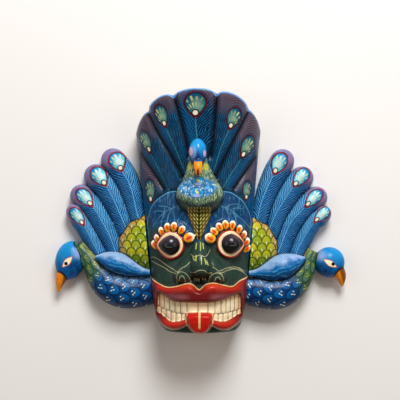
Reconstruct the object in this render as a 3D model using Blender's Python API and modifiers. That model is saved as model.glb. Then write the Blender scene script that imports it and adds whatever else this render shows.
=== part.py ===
"""Sri Lankan raksha mask of the peacock kind, lying on its back.

Three wooden pieces: the middle block with the face, the forehead bird and the crown, carved in one and
hollowed from behind, and one side peacock carved from a board for each side of it.

Lengths are in millimetres while a piece is shaped, and MM turns the finished mesh into metres.
+X is the viewer's right, +Y the top of the mask, and +Z the way the face looks. The backs lie at z = 0.
"""

import math

import bmesh
import bpy
import numpy as np
from mathutils import Matrix, Vector

MM = 0.001

# The middle block: its sides are straight saw cuts, each from a high to a low point.
LEFT_SIDE = ((-79.5, 92.0), (-58.5, -112.0))
RIGHT_SIDE = ((77.0, 92.0), (59.5, -112.0))
CHIN_OUTLINE = [
    (-58.5, -112), (-54, -134), (-44, -147), (-30, -150), (32, -150), (48, -147), (55, -134), (59.5, -112),
]
LOBE_NOTCHES = [(77, 92), (60.4, 126.6), (20.8, 143), (-31.6, 140.8), (-62.6, 124.6), (-79.5, 92)]
LOBE_RISES = [6.6, 10.2, 8.8, 9.0, 6.0]
ARC_STEPS = 9

# Front surface of the block: how far it stands out down its middle, against y, and at its side edges.
MIDDLE_Y = [-150, -135, -110, -85, -60, -20, 20, 60, 100, 130, 152]
MIDDLE_Z = [66, 70, 72, 72, 69, 66, 66, 69, 75, 82, 88]
SIDE_EDGE_Z = 22.0
LEAST_ROUNDING = 0.03
FOREHEAD_RISE = 8.0
FOREHEAD_EDGE = 2.5
FOREHEAD_OUTLINE = [
    (-29, 26), (-45, 21), (-59, 9), (-66, -11), (-72, -60), (-72, -170), (72, -170), (72, -60),
    (67, -14), (59, 8), (47, 20), (29, 26),
]

# Grooves between the crown's feathers.
CROWN_GROOVES = [
    [(-64, 123), (-49, 93), (-36, 71), (-20, 42)],
    [(-32, 143), (-27, 127), (-19, 97), (-12, 68)],
    [(22, 146), (19, 106), (17, 87), (13, 68)],
    [(61, 124), (48, 98), (36, 75), (19, 41)],
    [(-80, 83), (-66, 62), (-53, 42), (-44, 28)],
    [(78, 78), (65, 60), (52, 41), (43, 28)],
]
CROWN_GROOVE = (7.0, 5.0)
CROWN_RIM = (7.0, 4.5)

# Carving on the face: each pad is an outline, how far it stands out, and the width of its rounded edge.
UPPER_LIP = [
    (-60, -84), (-51, -89), (-40, -93), (-30, -92), (-16, -88), (-8, -89), (0, -95), (8, -89), (18, -87),
    (30, -90), (41, -92), (50, -86), (61, -82), (60, -104), (55, -127), (51, -126), (50, -105), (44, -103),
    (30, -108), (12, -111), (-12, -111), (-31, -110), (-44, -104), (-50, -102), (-52, -122), (-56, -122),
    (-60, -100),
]
TEETH = [
    (-54, -98), (-40, -102), (0, -106), (40, -101), (53, -99), (52, -126), (41, -131), (30, -136), (16, -135),
    (0, -134), (-16, -134), (-31, -137), (-41, -131), (-53, -124),
]
LOWER_LIPS = [
    [(-56, -127), (-53, -135), (-46, -141), (-36, -145), (-25, -144), (-14, -138), (-14, -131),
     (-26, -134), (-35, -135), (-42, -131), (-48, -126)],
    [(56, -127), (52, -136), (44, -142), (34, -146), (24, -144), (14, -138), (14, -131),
     (25, -134), (34, -134), (41, -131), (48, -127)],
]
TONGUE = [
    (-14.4, -123), (-16.2, -131), (-13.5, -140.4), (-6.9, -147.2), (1, -149.6), (8.9, -147.2), (15, -139.4),
    (16.8, -130), (15.4, -123),
]
LIP_PAD = (13.0, 5.5)
TEETH_PAD = (3.5, 4.0)
LOWER_LIP_PAD = (13.0, 5.5)
TONGUE_PAD = (18.0, 5.5)
TOOTH_GAPS = [-45, -38, -31, -24, -15, -1, 10, 19, 27, 34, 41]
TOOTH_GROOVE = (1.6, 2.4)
NOSTRIL = (1.5, -83.0, 9.0, 7.0)

# Eyes, and the arch of small petals over each: centre, then angles of the first and last petal, and count.
EYES = [(-35.6, -41.8), (38.6, -40.4)]
EYE_RADIUS = 17.0
EYE_LEVEL = 61.0
PUPIL_RADIUS = 12.6
PUPIL_LEVEL = 73.0
PUPIL_HEIGHT = 10.5
LID_RADIUS = 14.4
LID_LEVEL = 72.0
LID_TILT = 0.22
LID_THICKNESS = 3.0
# For each petal its angle around the eye, its distance from the eye's middle and its own turn.
PETAL_ARCHES = [
    [(179, 19.8, 118), (154, 17.9, 118), (122, 19.9, 113), (99, 22.4, 98), (79, 23.8, 85), (54, 24.0, 58),
     (23, 25.2, 24)],
    [(-16, 21.6, 50), (6, 20.2, 62), (34, 19.4, 62), (60, 21.0, 68), (85, 23.6, 80), (105, 25.0, 98),
     (123, 25.6, 118), (142, 26.0, 136), (163, 26.6, 156)],
]
PETAL_LIFT = 0.9
PETAL_SIZE = (5.9, 4.1, 3.4)
BIG_PETAL_SIZE = (7.2, 6.2, 4.0)
BROW_WIDTH = (19.0, 28.0)
BROW_RISE = 5.0
BROW_OVERRUN = 12.0

# The forehead bird.
CHEST = ((0.6, 20.0, 72.0), (29.0, 24.0, 23.0))
NECK = ([(0.5, 26, 68), (-0.5, 42, 76.5), (-1.5, 55, 80), (-2, 66, 85)], [26, 19, 13.5, 10])
BIRD_HEAD = ((-1.9, 71.8, 89.5), (10.8, 16.6, 13.0))
BIRD_BEAK = ([(-1.6, 60.5, 97), (-1.5, 52.5, 101.8), (-1.4, 43.4, 102.2)], [5.4, 4.9, 2.6])
BIRD_TAIL = [(-12, 8), (-13.5, -3), (-8, -19), (-1, -36), (7.5, -20), (13.5, -5), (13, 8)]
BIRD_TAIL_PAD = (7.0, 7.0)

# The nose: a bridge, two wings and the broad form that they stand on.
NOSE_BASE = ((1.0, -70.0, 68.0), (27.0, 17.0, 15.0))
NOSE_BRIDGE = ([(0, -33, 65), (0.5, -48, 74), (1, -62, 82), (1.2, -69, 83)], [8, 10.5, 12, 11])
NOSE_WINGS = [
    ([(-4, -54, 70), (-13, -68, 74), (-20, -78, 74)], [9, 11.5, 12]),
    ([(5, -54, 70), (15, -68, 74), (22, -79, 74)], [9, 11.5, 12]),
]

# The hollow behind the block: wall thickness at the sides, behind the front and at the chin.
WALL_SIDE = 13.0
WALL_FRONT = 15.0
HOLLOW_CHIN_Y = -128.0
HOLLOW_STEPS_Y = [-128, -110, -60, 0, 60, 110, 170]
HOLLOW_CHIN_SHARE = (0.7, 0.75)
HOLLOW_SEGMENTS = 20

# The side peacocks. Rows are (x, y, half width); a feather's first row is the middle of its round tip.
FEATHER_TOP = 23.0
FEATHER_SPREAD = 1.0
FEATHER_BOARD_TOP = 9.0
FEATHERS = {
    "left": [
        [(-111.5, 65, 16), (-103, 54, 15.5), (-94, 40, 14.5), (-85, 14, 12.5), (-79, -14, 10), (-76, -32, 8)],
        [(-133.5, 44.5, 16), (-127, 37, 15.5), (-119, 27.5, 14.5), (-103, -1, 12.5), (-94, -25, 10.5),
         (-88, -42, 9)],
        [(-152.3, 19.2, 15), (-146, 12, 14.5), (-136, 1.5, 14), (-119, -28, 12.5), (-108, -50, 10.5),
         (-103, -64, 8)],
        [(-160, -2, 12), (-155.5, -9.5, 11.5), (-149, -20, 11), (-138, -38, 10), (-128, -56, 8)],
    ],
    "right": [
        [(107.5, 64.5, 15.5), (99, 49, 15), (89, 28, 13), (81, 1, 11), (78, -18, 9), (76, -34, 8)],
        [(132.8, 42.5, 15), (127, 35.5, 15), (119, 26.5, 14), (103, 0, 12), (94, -26, 9.5), (89, -40, 8)],
        [(151.2, 17, 14.5), (144, 11.5, 14), (135, 3.5, 13.5), (118, -20, 12), (107, -46, 10), (104, -60, 8)],
        [(158.8, -4, 11.5), (153.5, -9.3, 11.5), (146.5, -15.5, 11), (132, -42, 10), (126, -58, 8)],
    ],
}
RUMPS = {
    "left": ((-62.0, -46.0, 12.0), (42.5, 42.0, 30.0)),
    "right": ((61.0, -49.0, 12.0), (40.5, 42.0, 30.0)),
}
BODIES = {
    "left": [(-155, -45, 7.5), (-143, -61, 11), (-132, -77, 15.5), (-119, -93, 20), (-101, -102, 22),
             (-81, -103, 21.5), (-50, -97, 19)],
    "right": [(146, -51, 7), (139, -65, 11), (133, -79, 15), (120, -95, 19), (103, -104, 21.5),
              (84, -104, 21.5), (50, -98, 19)],
}
BODY_LEVEL = 16.0
BACKING_TOP = 17.0
WINGS = {
    "left": [(-132.5, -58.5, 1.5), (-121, -61, 9), (-108, -64.8, 13), (-92, -70, 12.5), (-76, -75.5, 8),
             (-64, -77.9, 3.8), (-52, -79, 3)],
    "right": [(135, -60, 1.5), (124, -64, 10), (109, -69.5, 15.5), (93, -74.5, 14), (78, -77.5, 8.5),
              (65, -78.9, 3.8), (52, -80, 3)],
}
WING_LEVELS = [28.5, 28.5, 29.0, 29.0, 31.0, 34.0, 35.0]
HEADS = {
    "left": ((-166.2, -63.8, 13.0), (19.2, 25.2, 16.0), 12.0),
    "right": ((167.4, -66.2, 13.0), (19.8, 19.6, 16.0), 20.0),
}
BEAKS = {
    "left": ([(-173.5, -77.5, 15), (-178.6, -89.5, 15), (-181.3, -104.2, 14)], [9.0, 6.6, 1.2]),
    "right": ([(176.0, -73.5, 15), (182.0, -84.5, 15), (184.2, -97.5, 14)], [9.6, 7.0, 1.2]),
}

# What brings the middle of the whole mask's box over the origin.
CENTRING = (-1.61, -0.16, 0.0)

# How the pieces are put together and skinned.
SEAM_GAP = 0.3
VOXEL = 1.5
SMOOTHING = 3
SHARP_ANGLE = 50.0
BLOCK_TRIANGLES = 6400
PEACOCK_TRIANGLES = 1650
CURVE_STEPS = 6
# The slab that a form is raised from reaches a little below its back, which is then cut flat.
BELOW = -8.0
SLAB_TOP = 10.0


def smooth_line(points, closed=False, steps=CURVE_STEPS):
    """Rows of numbers smoothed by a Catmull-Rom curve through them."""
    rows = np.array(points, float)
    if closed:
        padded = np.vstack([rows[-1:], rows, rows[:2]])
    else:
        padded = np.vstack([2 * rows[0] - rows[1], rows, 2 * rows[-1] - rows[-2]])
    line = []
    for a, b, c, d in zip(padded, padded[1:], padded[2:], padded[3:]):
        for t in np.arange(steps) / steps:
            quadratic, cubic = 2 * a - 5 * b + 4 * c - d, 3 * b - a - 3 * c + d
            line.append(0.5 * (2 * b + (c - a) * t + quadratic * t**2 + cubic * t**3))
    if not closed:
        line.append(rows[-1])
    return np.array(line)


def distance_to(line, xy, closed=False):
    """Distance of each point of xy to a polyline."""
    ends = np.roll(line, -1, axis=0) if closed else line[1:]
    nearest = np.full(len(xy), np.inf)
    for a, b in zip(line, ends):
        along = b - a
        t = np.clip(((xy - a) @ along) / max(along @ along, 1e-9), 0, 1)
        nearest = np.minimum(nearest, np.hypot(*(xy - a - t[:, None] * along).T))
    return nearest


def inside(outline, xy):
    """Which points of xy lie within a closed outline."""
    crossings = np.zeros(len(xy), int)
    for (ax, ay), (bx, by) in zip(outline, np.roll(outline, -1, axis=0)):
        spans = (ay > xy[:, 1]) != (by > xy[:, 1])
        at_x = ax + (xy[:, 1] - ay) * (bx - ax) / (by - ay if by != ay else 1e-9)
        crossings += spans & (xy[:, 0] < at_x)
    return crossings % 2 == 1


def raised(xy, points, rise, edge):
    """A pad over a smoothed outline: full height inside, rounded off over its edge."""
    outline = smooth_line(points, closed=True)
    depth = np.where(inside(outline, xy), distance_to(outline, xy, closed=True), 0.0)
    return rise * np.sqrt(1 - (1 - np.clip(depth / edge, 0, 1)) ** 2)


def groove(xy, points, width, depth):
    """A valley with rounded shoulders and a sharp bottom along a smoothed line, as a negative height."""
    return -depth * (1 - np.clip(distance_to(smooth_line(points), xy) / width, 0, 1)) ** 1.5


def side_x(side, y):
    """The x of a straight saw-cut side at height y on the mask."""
    (x0, y0), (x1, y1) = side
    return x0 + (x1 - x0) * (y - y0) / (y1 - y0)


def rounded_front(xy):
    """The half-round front of the block before anything is carved on it."""
    x, y = xy.T
    left, right = side_x(LEFT_SIDE, y), side_x(RIGHT_SIDE, y)
    across = (2 * x - left - right) / (right - left)
    rounding = np.sqrt(np.clip(1 - across**2, LEAST_ROUNDING, 1))
    return SIDE_EDGE_Z + (np.interp(y, MIDDLE_Y, MIDDLE_Z) - SIDE_EDGE_Z) * rounding


def eye_arch(xy, centre, first, last):
    """The raised brow around the upper side of an eye, as a height."""
    offset = xy - np.array(centre)
    radius = np.hypot(*offset.T)
    middle, half = math.radians((first + last) / 2), math.radians(abs(last - first) / 2 + BROW_OVERRUN)
    turn = np.abs((np.arctan2(offset[:, 1], offset[:, 0]) - middle + math.pi) % (2 * math.pi) - math.pi)
    across = np.clip(1 - np.abs(radius - sum(BROW_WIDTH) / 2) / (BROW_WIDTH[1] - BROW_WIDTH[0]), 0, 1)
    return BROW_RISE * np.sqrt(across) * np.clip((half - turn) * 6, 0, 1)


def carved_front(xy):
    """The block's front with the crown's grooves and the face's lips, teeth and tongue."""
    height = rounded_front(xy)
    forehead = raised(xy, FOREHEAD_OUTLINE, 1, FOREHEAD_EDGE)
    height += FOREHEAD_RISE * forehead
    for line in CROWN_GROOVES:
        height += groove(xy, line, *CROWN_GROOVE) * (1 - forehead)
    rim_width, rim_drop = CROWN_RIM
    to_rim = distance_to(block_outline(), xy, closed=True)
    height -= rim_drop * (1 - np.sqrt(1 - (1 - np.clip(to_rim / rim_width, 0, 1)) ** 2))
    for centre, arch in zip(EYES, PETAL_ARCHES):
        height += eye_arch(xy, centre, arch[0][0], arch[-1][0])
    height += raised(xy, BIRD_TAIL, *BIRD_TAIL_PAD)
    nostril_x, nostril_y, nostril_width, nostril_depth = NOSTRIL
    from_nostril = np.hypot(xy[:, 0] - nostril_x, xy[:, 1] - nostril_y)
    height -= nostril_depth * np.exp(-(from_nostril / nostril_width) ** 2)
    teeth = raised(xy, TEETH, *TEETH_PAD)
    for x in TOOTH_GAPS:
        width, depth = TOOTH_GROOVE
        teeth -= depth * np.exp(-(((xy[:, 0] - x) / width) ** 2)) * (teeth > 0)
    pads = [teeth, raised(xy, UPPER_LIP, *LIP_PAD), raised(xy, TONGUE, *TONGUE_PAD)]
    pads += [raised(xy, lip, *LOWER_LIP_PAD) for lip in LOWER_LIPS]
    return height + np.maximum.reduce(pads)


def block_outline():
    """The block seen from the front: straight sides, rounded chin and five lobes at the top."""
    points = [*smooth_line(CHIN_OUTLINE)]
    for (ax, ay), (bx, by), rise in zip(LOBE_NOTCHES, LOBE_NOTCHES[1:], LOBE_RISES):
        out = Vector((by - ay, ax - bx)).normalized()
        for t in np.arange(ARC_STEPS) / ARC_STEPS:
            bulge = rise * math.sqrt(4 * t * (1 - t))
            points.append((ax + (bx - ax) * t + out.x * bulge, ay + (by - ay) * t + out.y * bulge))
    points.append(LOBE_NOTCHES[-1])
    return np.array(points)


def empty_the_scene():
    for thing in list(bpy.data.objects):
        bpy.data.objects.remove(thing)


def object_of(mesh, name="shape"):
    thing = bpy.data.objects.new(name, mesh)
    bpy.context.scene.collection.objects.link(thing)
    return thing


def settled(thing):
    """The object's mesh with its modifiers worked out; the object itself is removed."""
    bpy.context.view_layer.update()
    graph = bpy.context.evaluated_depsgraph_get()
    mesh = bpy.data.meshes.new_from_object(thing.evaluated_get(graph))
    bpy.data.objects.remove(thing)
    return mesh


def mesh_of(bm):
    mesh = bpy.data.meshes.new("shape")
    bm.to_mesh(mesh)
    bm.free()
    return mesh


def ellipsoid(centre, radii, turn=0.0):
    """A ball stretched to three radii and turned about the vertical by degrees."""
    bm = bmesh.new()
    place = Matrix.Translation(centre) @ Matrix.Rotation(math.radians(turn), 4, "Z")
    stretch = Matrix.Diagonal((*radii, 1))
    bmesh.ops.create_uvsphere(bm, u_segments=32, v_segments=20, radius=1, matrix=place @ stretch)
    return mesh_of(bm)


def rod(points, radii):
    """A round rod of changing thickness along smoothed points."""
    rows = smooth_line([(*point, radius) for point, radius in zip(points, radii)])
    curve = bpy.data.curves.new("rod", "CURVE")
    curve.dimensions = "3D"
    curve.bevel_depth = 1.0
    curve.bevel_resolution = 5
    curve.use_fill_caps = True
    spline = curve.splines.new("POLY")
    spline.points.add(len(rows) - 1)
    for point, row in zip(spline.points, rows):
        point.co = (row[0], row[1], row[2], 1)
        point.radius = row[3]
    mesh = settled(object_of(curve))
    bpy.data.curves.remove(curve)
    bm = bmesh.new()
    bm.from_mesh(mesh)
    bmesh.ops.remove_doubles(bm, verts=bm.verts, dist=0.001)
    return mesh_of(bm)


def paddle(rows, levels):
    """A rod from rows of (x, y, half width) and their levels."""
    return rod([(x, y, z) for (x, y, _), z in zip(rows, levels)], [width for _, _, width in rows])


def ribbon(rows):
    """The outline of a band from rows of (x, y, half width), with a half-round first end."""
    line = smooth_line(rows)
    along = np.gradient(line[:, :2], axis=0)
    along /= np.linalg.norm(along, axis=1)[:, None]
    sideways = np.column_stack([-along[:, 1], along[:, 0]]) * line[:, 2:]
    turns = np.linspace(0, math.pi, ARC_STEPS)[1:-1, None]
    tip = line[0, :2] - np.cos(turns) * sideways[0] - np.sin(turns) * along[0] * line[0, 2]
    return np.vstack([(line[:, :2] - sideways)[::-1], tip, line[:, :2] + sideways])


def plate(outline, bottom, top):
    """A flat slab between two heights, with the given outline."""
    curve = bpy.data.curves.new("plate", "CURVE")
    curve.dimensions = "2D"
    curve.fill_mode = "BOTH"
    curve.extrude = (top - bottom) / 2
    spline = curve.splines.new("POLY")
    spline.points.add(len(outline) - 1)
    for point, (x, y) in zip(spline.points, outline):
        point.co = (x, y, 0, 1)
    spline.use_cyclic_u = True
    mesh = settled(object_of(curve))
    bpy.data.curves.remove(curve)
    mesh.transform(Matrix.Translation((0, 0, (top + bottom) / 2)))
    bm = bmesh.new()
    bm.from_mesh(mesh)
    bmesh.ops.remove_doubles(bm, verts=bm.verts, dist=0.001)
    return mesh_of(bm)


def joined(meshes):
    bm = bmesh.new()
    for mesh in meshes:
        bm.from_mesh(mesh)
        bpy.data.meshes.remove(mesh)
    return mesh_of(bm)


def remeshed(mesh, size):
    """The mesh as one closed skin of even faces."""
    thing = object_of(mesh)
    remesh = thing.modifiers.new("skin", "REMESH")
    remesh.mode = "VOXEL"
    remesh.voxel_size = size
    return settled(thing)


def block_body():
    """The block's slab, its front pushed out to the carved form."""
    mesh = remeshed(plate(block_outline(), BELOW, SLAB_TOP), VOXEL)
    places = np.empty(len(mesh.vertices) * 3)
    mesh.vertices.foreach_get("co", places)
    places = places.reshape(-1, 3)
    share = (places[:, 2] - BELOW) / (SLAB_TOP - BELOW)
    places[:, 2] = BELOW + share * (carved_front(places[:, :2]) - BELOW)
    mesh.vertices.foreach_set("co", places.ravel())
    return mesh


def petals():
    """The small petals set around the upper side of each eye, the inner end one bigger."""
    made = []
    for (x, y), arch in zip(EYES, PETAL_ARCHES):
        for angle, reach, turn in arch:
            size = BIG_PETAL_SIZE if (angle, reach, turn) == arch[-1] else PETAL_SIZE
            way = math.radians(angle)
            place = np.array([[x + reach * math.cos(way), y + reach * math.sin(way)]])
            made.append(ellipsoid((*place[0], carved_front(place)[0] + PETAL_LIFT), size, turn))
    return made


def eyes():
    """Each eye is a ball, its raised round lid, and the domed pupil."""
    made = []
    for x, y in EYES:
        made.append(ellipsoid((x, y, EYE_LEVEL), (EYE_RADIUS, EYE_RADIUS, EYE_RADIUS)))
        made.append(ellipsoid((x, y, PUPIL_LEVEL), (PUPIL_RADIUS, PUPIL_RADIUS, PUPIL_HEIGHT)))
        turns = [math.tau * step / 12 for step in range(14)]
        lid = []
        for turn in turns:
            across, up = LID_RADIUS * math.cos(turn), LID_RADIUS * math.sin(turn)
            lid.append((x + across, y + up, LID_LEVEL - LID_TILT * math.copysign(1, x) * across))
        made.append(rod(lid, [LID_THICKNESS] * len(lid)))
    return made


def forehead_bird():
    return [ellipsoid(*CHEST), rod(*NECK), ellipsoid(*BIRD_HEAD), rod(*BIRD_BEAK)]


def nose():
    tip, tip_radius = NOSE_BRIDGE[0][-1], NOSE_BRIDGE[1][-1]
    made = [ellipsoid(*NOSE_BASE), rod(*NOSE_BRIDGE), ellipsoid(tip, (tip_radius, tip_radius, tip_radius))]
    for points, radii in NOSE_WINGS:
        made += [rod(points, radii), ellipsoid(points[-1], (radii[-1], radii[-1] * 0.8, radii[-1]))]
    return made


def carved(meshes, triangles):
    """The shapes as one smoothed solid of about the given number of triangles, still uncut at the back."""
    thing = object_of(remeshed(joined(meshes), VOXEL))
    smooth = thing.modifiers.new("soften", "SMOOTH")
    smooth.factor = 0.5
    smooth.iterations = SMOOTHING
    thing.modifiers.new("faces", "TRIANGULATE")
    mesh = settled(thing)
    thing = object_of(mesh)
    thin = thing.modifiers.new("thin", "DECIMATE")
    thin.ratio = triangles / len(mesh.polygons)
    return settled(thing)


def cut_flat(mesh, point, outward):
    """The mesh cut off by a plane, the side that outward points to being taken away."""
    bm = bmesh.new()
    bm.from_mesh(mesh)
    bpy.data.meshes.remove(mesh)
    everything = [*bm.verts, *bm.edges, *bm.faces]
    cut = bmesh.ops.bisect_plane(
        bm, geom=everything, dist=0.0005, plane_co=point, plane_no=outward, clear_outer=True
    )["geom_cut"]
    edges = [part for part in cut if isinstance(part, bmesh.types.BMEdge)]
    filled = bmesh.ops.holes_fill(bm, edges=edges, sides=0)["faces"]
    bmesh.ops.triangulate(bm, faces=filled)
    return mesh_of(bm)


def side_plane(side, gap):
    """A point on a saw-cut side moved outwards by the gap, and the direction away from the block."""
    (x0, y0), (x1, y1) = side
    outward = Vector((y0 - y1, x1 - x0, 0)).normalized()
    if outward.x * x0 < 0:
        outward.negate()
    return Vector((x0, y0, 0)) + outward * gap, outward


def hollow_cutter(cutters):
    """The scooped-out space behind the face and the crown, open at the back and at the top."""
    bm = bmesh.new()
    rings = []
    for y in HOLLOW_STEPS_Y:
        left, right = side_x(LEFT_SIDE, y), side_x(RIGHT_SIDE, y)
        half = (right - left) / 2 - WALL_SIDE
        height = np.interp(y, MIDDLE_Y, MIDDLE_Z) - WALL_FRONT
        if y <= HOLLOW_CHIN_Y:
            half, height = half * HOLLOW_CHIN_SHARE[0], height * HOLLOW_CHIN_SHARE[1]
        place = Matrix.Translation(((left + right) / 2, y, 0)) @ Matrix.Rotation(math.pi / 2, 4, "X")
        oval = place @ Matrix.Diagonal((half, height, 1, 1))
        made = bmesh.ops.create_circle(bm, cap_ends=False, segments=HOLLOW_SEGMENTS, radius=1, matrix=oval)
        rings.append({edge for vert in made["verts"] for edge in vert.link_edges})
    for ring, following in zip(rings, rings[1:]):
        bmesh.ops.bridge_loops(bm, edges=[*ring, *following])
    bmesh.ops.holes_fill(bm, edges=[*rings[0], *rings[-1]], sides=0)
    bmesh.ops.recalc_face_normals(bm, faces=bm.faces)
    cutter = bpy.data.objects.new("hollow_cutter", mesh_of(bm))
    cutters.objects.link(cutter)
    cutter.hide_render = True
    cutter.display_type = "WIRE"
    return cutter


def finished(name, mesh, colour, holder, root, cutter=None):
    """The piece in metres, with its own material, in the mask's collection."""
    thing = bpy.data.objects.new(name, mesh)
    holder.objects.link(thing)
    if cutter:
        cut = thing.modifiers.new("hollow", "BOOLEAN")
        cut.operation = "DIFFERENCE"
        cut.solver = "EXACT"
        cut.object = cutter
        bpy.context.view_layer.update()
        graph = bpy.context.evaluated_depsgraph_get()
        hollowed = bpy.data.meshes.new_from_object(thing.evaluated_get(graph))
        thing.modifiers.remove(cut)
        thing.data = hollowed
    thing.data.transform(Matrix.Scale(MM, 4) @ Matrix.Translation(CENTRING))
    thing.data.shade_smooth()
    thing.data.set_sharp_from_angle(angle=math.radians(SHARP_ANGLE))
    thing.data.materials.append(paint(name, colour))
    thing.parent = root
    return thing


def paint(name, colour):
    """Varnished paint on wood."""
    material = bpy.data.materials.new(name + "_paint")
    material.use_nodes = True
    shader = material.node_tree.nodes["Principled BSDF"]
    shader.inputs["Base Color"].default_value = (*colour, 1)
    shader.inputs["Roughness"].default_value = 0.35
    shader.inputs["Metallic"].default_value = 0.0
    return material


def peacock(side, saw_cut):
    """One side bird: tail feathers, rump, wing, body with neck, head and beak, cut flat to meet the block."""
    shapes = []
    for (x, y, width), *rest in FEATHERS[side]:
        rows = [(x, y, width), *((*place, half + FEATHER_SPREAD) for *place, half in rest)]
        shapes.append(rod([(*row[:2], FEATHER_TOP - row[2]) for row in rows], [row[2] for row in rows]))
        shapes.append(ellipsoid((x, y, FEATHER_TOP - width), (width, width, width)))
        shapes.append(plate(ribbon(rows), BELOW, FEATHER_BOARD_TOP))
    shapes.append(ellipsoid(*RUMPS[side]))
    shapes.append(paddle(BODIES[side], [BODY_LEVEL] * len(BODIES[side])))
    shapes.append(paddle(WINGS[side], WING_LEVELS))
    centre, radii, turn = HEADS[side]
    shapes += [ellipsoid(centre, radii, math.copysign(turn, centre[0])), rod(*BEAKS[side])]
    shapes.append(backing(side))
    mesh = carved(shapes, PEACOCK_TRIANGLES)
    mesh = cut_flat(mesh, Vector((0, 0, 0)), Vector((0, 0, -1)))
    point, outward = side_plane(saw_cut, SEAM_GAP)
    return cut_flat(mesh, point, -outward)


def backing(side):
    """The flat board that the bird is carved from, which ties its feathers, rump and body together."""
    feathers = FEATHERS[side]
    points = [rows[-3][:2] for rows in feathers]
    points += [(x, y) for x, y, _ in BODIES[side][2:]]
    if side == "left":
        points.reverse()
    return plate(np.array(points), BELOW, BACKING_TOP)


def middle_block():
    """The face, forehead bird and crown as one solid, still to be hollowed."""
    mesh = carved([block_body(), *petals(), *eyes(), *forehead_bird(), *nose()], BLOCK_TRIANGLES)
    mesh = cut_flat(mesh, Vector((0, 0, 0)), Vector((0, 0, -1)))
    for saw_cut in (LEFT_SIDE, RIGHT_SIDE):
        mesh = cut_flat(mesh, *side_plane(saw_cut, 0.0))
    return mesh


def main():
    empty_the_scene()
    holder = bpy.data.collections.new("raksha_mask")
    cutters = bpy.data.collections.new("cutters")
    for collection in (holder, cutters):
        bpy.context.scene.collection.children.link(collection)
    root = bpy.data.objects.new("raksha_mask_origin", None)
    holder.objects.link(root)
    finished("face_and_crown", middle_block(), (0.02, 0.06, 0.10), holder, root, hollow_cutter(cutters))
    finished("left_peacock", peacock("left", LEFT_SIDE), (0.0, 0.15, 0.40), holder, root)
    finished("right_peacock", peacock("right", RIGHT_SIDE), (0.0, 0.15, 0.40), holder, root)


main()
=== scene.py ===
"""Looks of a Sri Lankan raksha mask of the peacock kind, lying on its back.

Its three wooden pieces, the middle block and the two side peacocks, are carved again here
in a finer skin than the frame's solids, from the same sizes, and then painted and varnished.

Lengths are in millimetres while a piece is carved, and MM turns the finished mesh into metres.
+X is the viewer's right, +Y the top of the mask, and +Z the way the face looks.
The backs lie at z = 0.
"""

import math

import bmesh
import bpy
import numpy as np
from bpy.props import FloatProperty, FloatVectorProperty, PointerProperty
from mathutils import Matrix, Vector


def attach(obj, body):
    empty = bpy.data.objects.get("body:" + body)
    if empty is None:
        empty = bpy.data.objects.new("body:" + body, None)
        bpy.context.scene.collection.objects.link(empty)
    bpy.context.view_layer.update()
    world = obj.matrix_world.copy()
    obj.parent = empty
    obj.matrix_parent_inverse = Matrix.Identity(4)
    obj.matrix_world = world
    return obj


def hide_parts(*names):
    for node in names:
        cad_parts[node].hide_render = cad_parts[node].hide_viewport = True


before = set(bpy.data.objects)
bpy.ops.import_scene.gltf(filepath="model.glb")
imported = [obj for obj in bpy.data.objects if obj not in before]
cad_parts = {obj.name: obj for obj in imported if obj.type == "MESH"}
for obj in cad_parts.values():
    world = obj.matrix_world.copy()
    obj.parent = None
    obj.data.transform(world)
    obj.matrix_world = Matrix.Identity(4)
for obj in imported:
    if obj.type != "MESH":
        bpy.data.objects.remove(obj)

bl_info = {
    "name": "Raksha Mask",
    "version": (1, 0, 0),
    "blender": (4, 5, 0),
    "location": "3D View > Sidebar > Raksha Mask",
    "description": "Carves and paints a peacock raksha mask around its frame",
    "category": "Object",
}

MM = 0.001
CENTRING = (-1.61, -0.16, 0.0)

# The middle block: its straight saw-cut sides, chin and crown lobes.
LEFT_SIDE = ((-79.5, 92.0), (-58.5, -112.0))
RIGHT_SIDE = ((77.0, 92.0), (59.5, -112.0))
CHIN_OUTLINE = [
    (-58.5, -112), (-54, -134), (-44, -147), (-30, -150), (32, -150), (48, -147), (55, -134), (59.5, -112),
]
LOBE_NOTCHES = [(77, 92), (60.4, 126.6), (20.8, 143), (-31.6, 140.8), (-62.6, 124.6), (-79.5, 92)]
LOBE_RISES = [6.6, 10.2, 8.8, 9.0, 6.0]
ARC_STEPS = 15
MIDDLE_Y = [-150, -135, -110, -85, -60, -20, 20, 60, 100, 130, 152]
MIDDLE_Z = [66, 70, 72, 72, 69, 66, 66, 69, 75, 82, 88]
SIDE_EDGE_Z = 22.0
LEAST_ROUNDING = 0.03
FOREHEAD_RISE = 8.0
FOREHEAD_EDGE = 2.5
FOREHEAD_OUTLINE = [
    (-29, 26), (-45, 21), (-59, 9), (-66, -11), (-72, -60), (-72, -170), (72, -170), (72, -60),
    (67, -14), (59, 8), (47, 20), (29, 26),
]

# Grooves between the crown's feathers, from the outer edge inwards, in order from left to right.
CROWN_GROOVES = [
    [(-80, 83), (-66, 62), (-53, 42), (-44, 28)],
    [(-64, 123), (-49, 93), (-36, 71), (-20, 42)],
    [(-32, 143), (-27, 127), (-19, 97), (-12, 68)],
    [(22, 146), (19, 106), (17, 87), (13, 68)],
    [(61, 124), (48, 98), (36, 75), (19, 41)],
    [(78, 78), (65, 60), (52, 41), (43, 28)],
]
CROWN_GROOVE = (7.0, 5.0)
CROWN_RIM = (7.0, 4.5)

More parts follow.
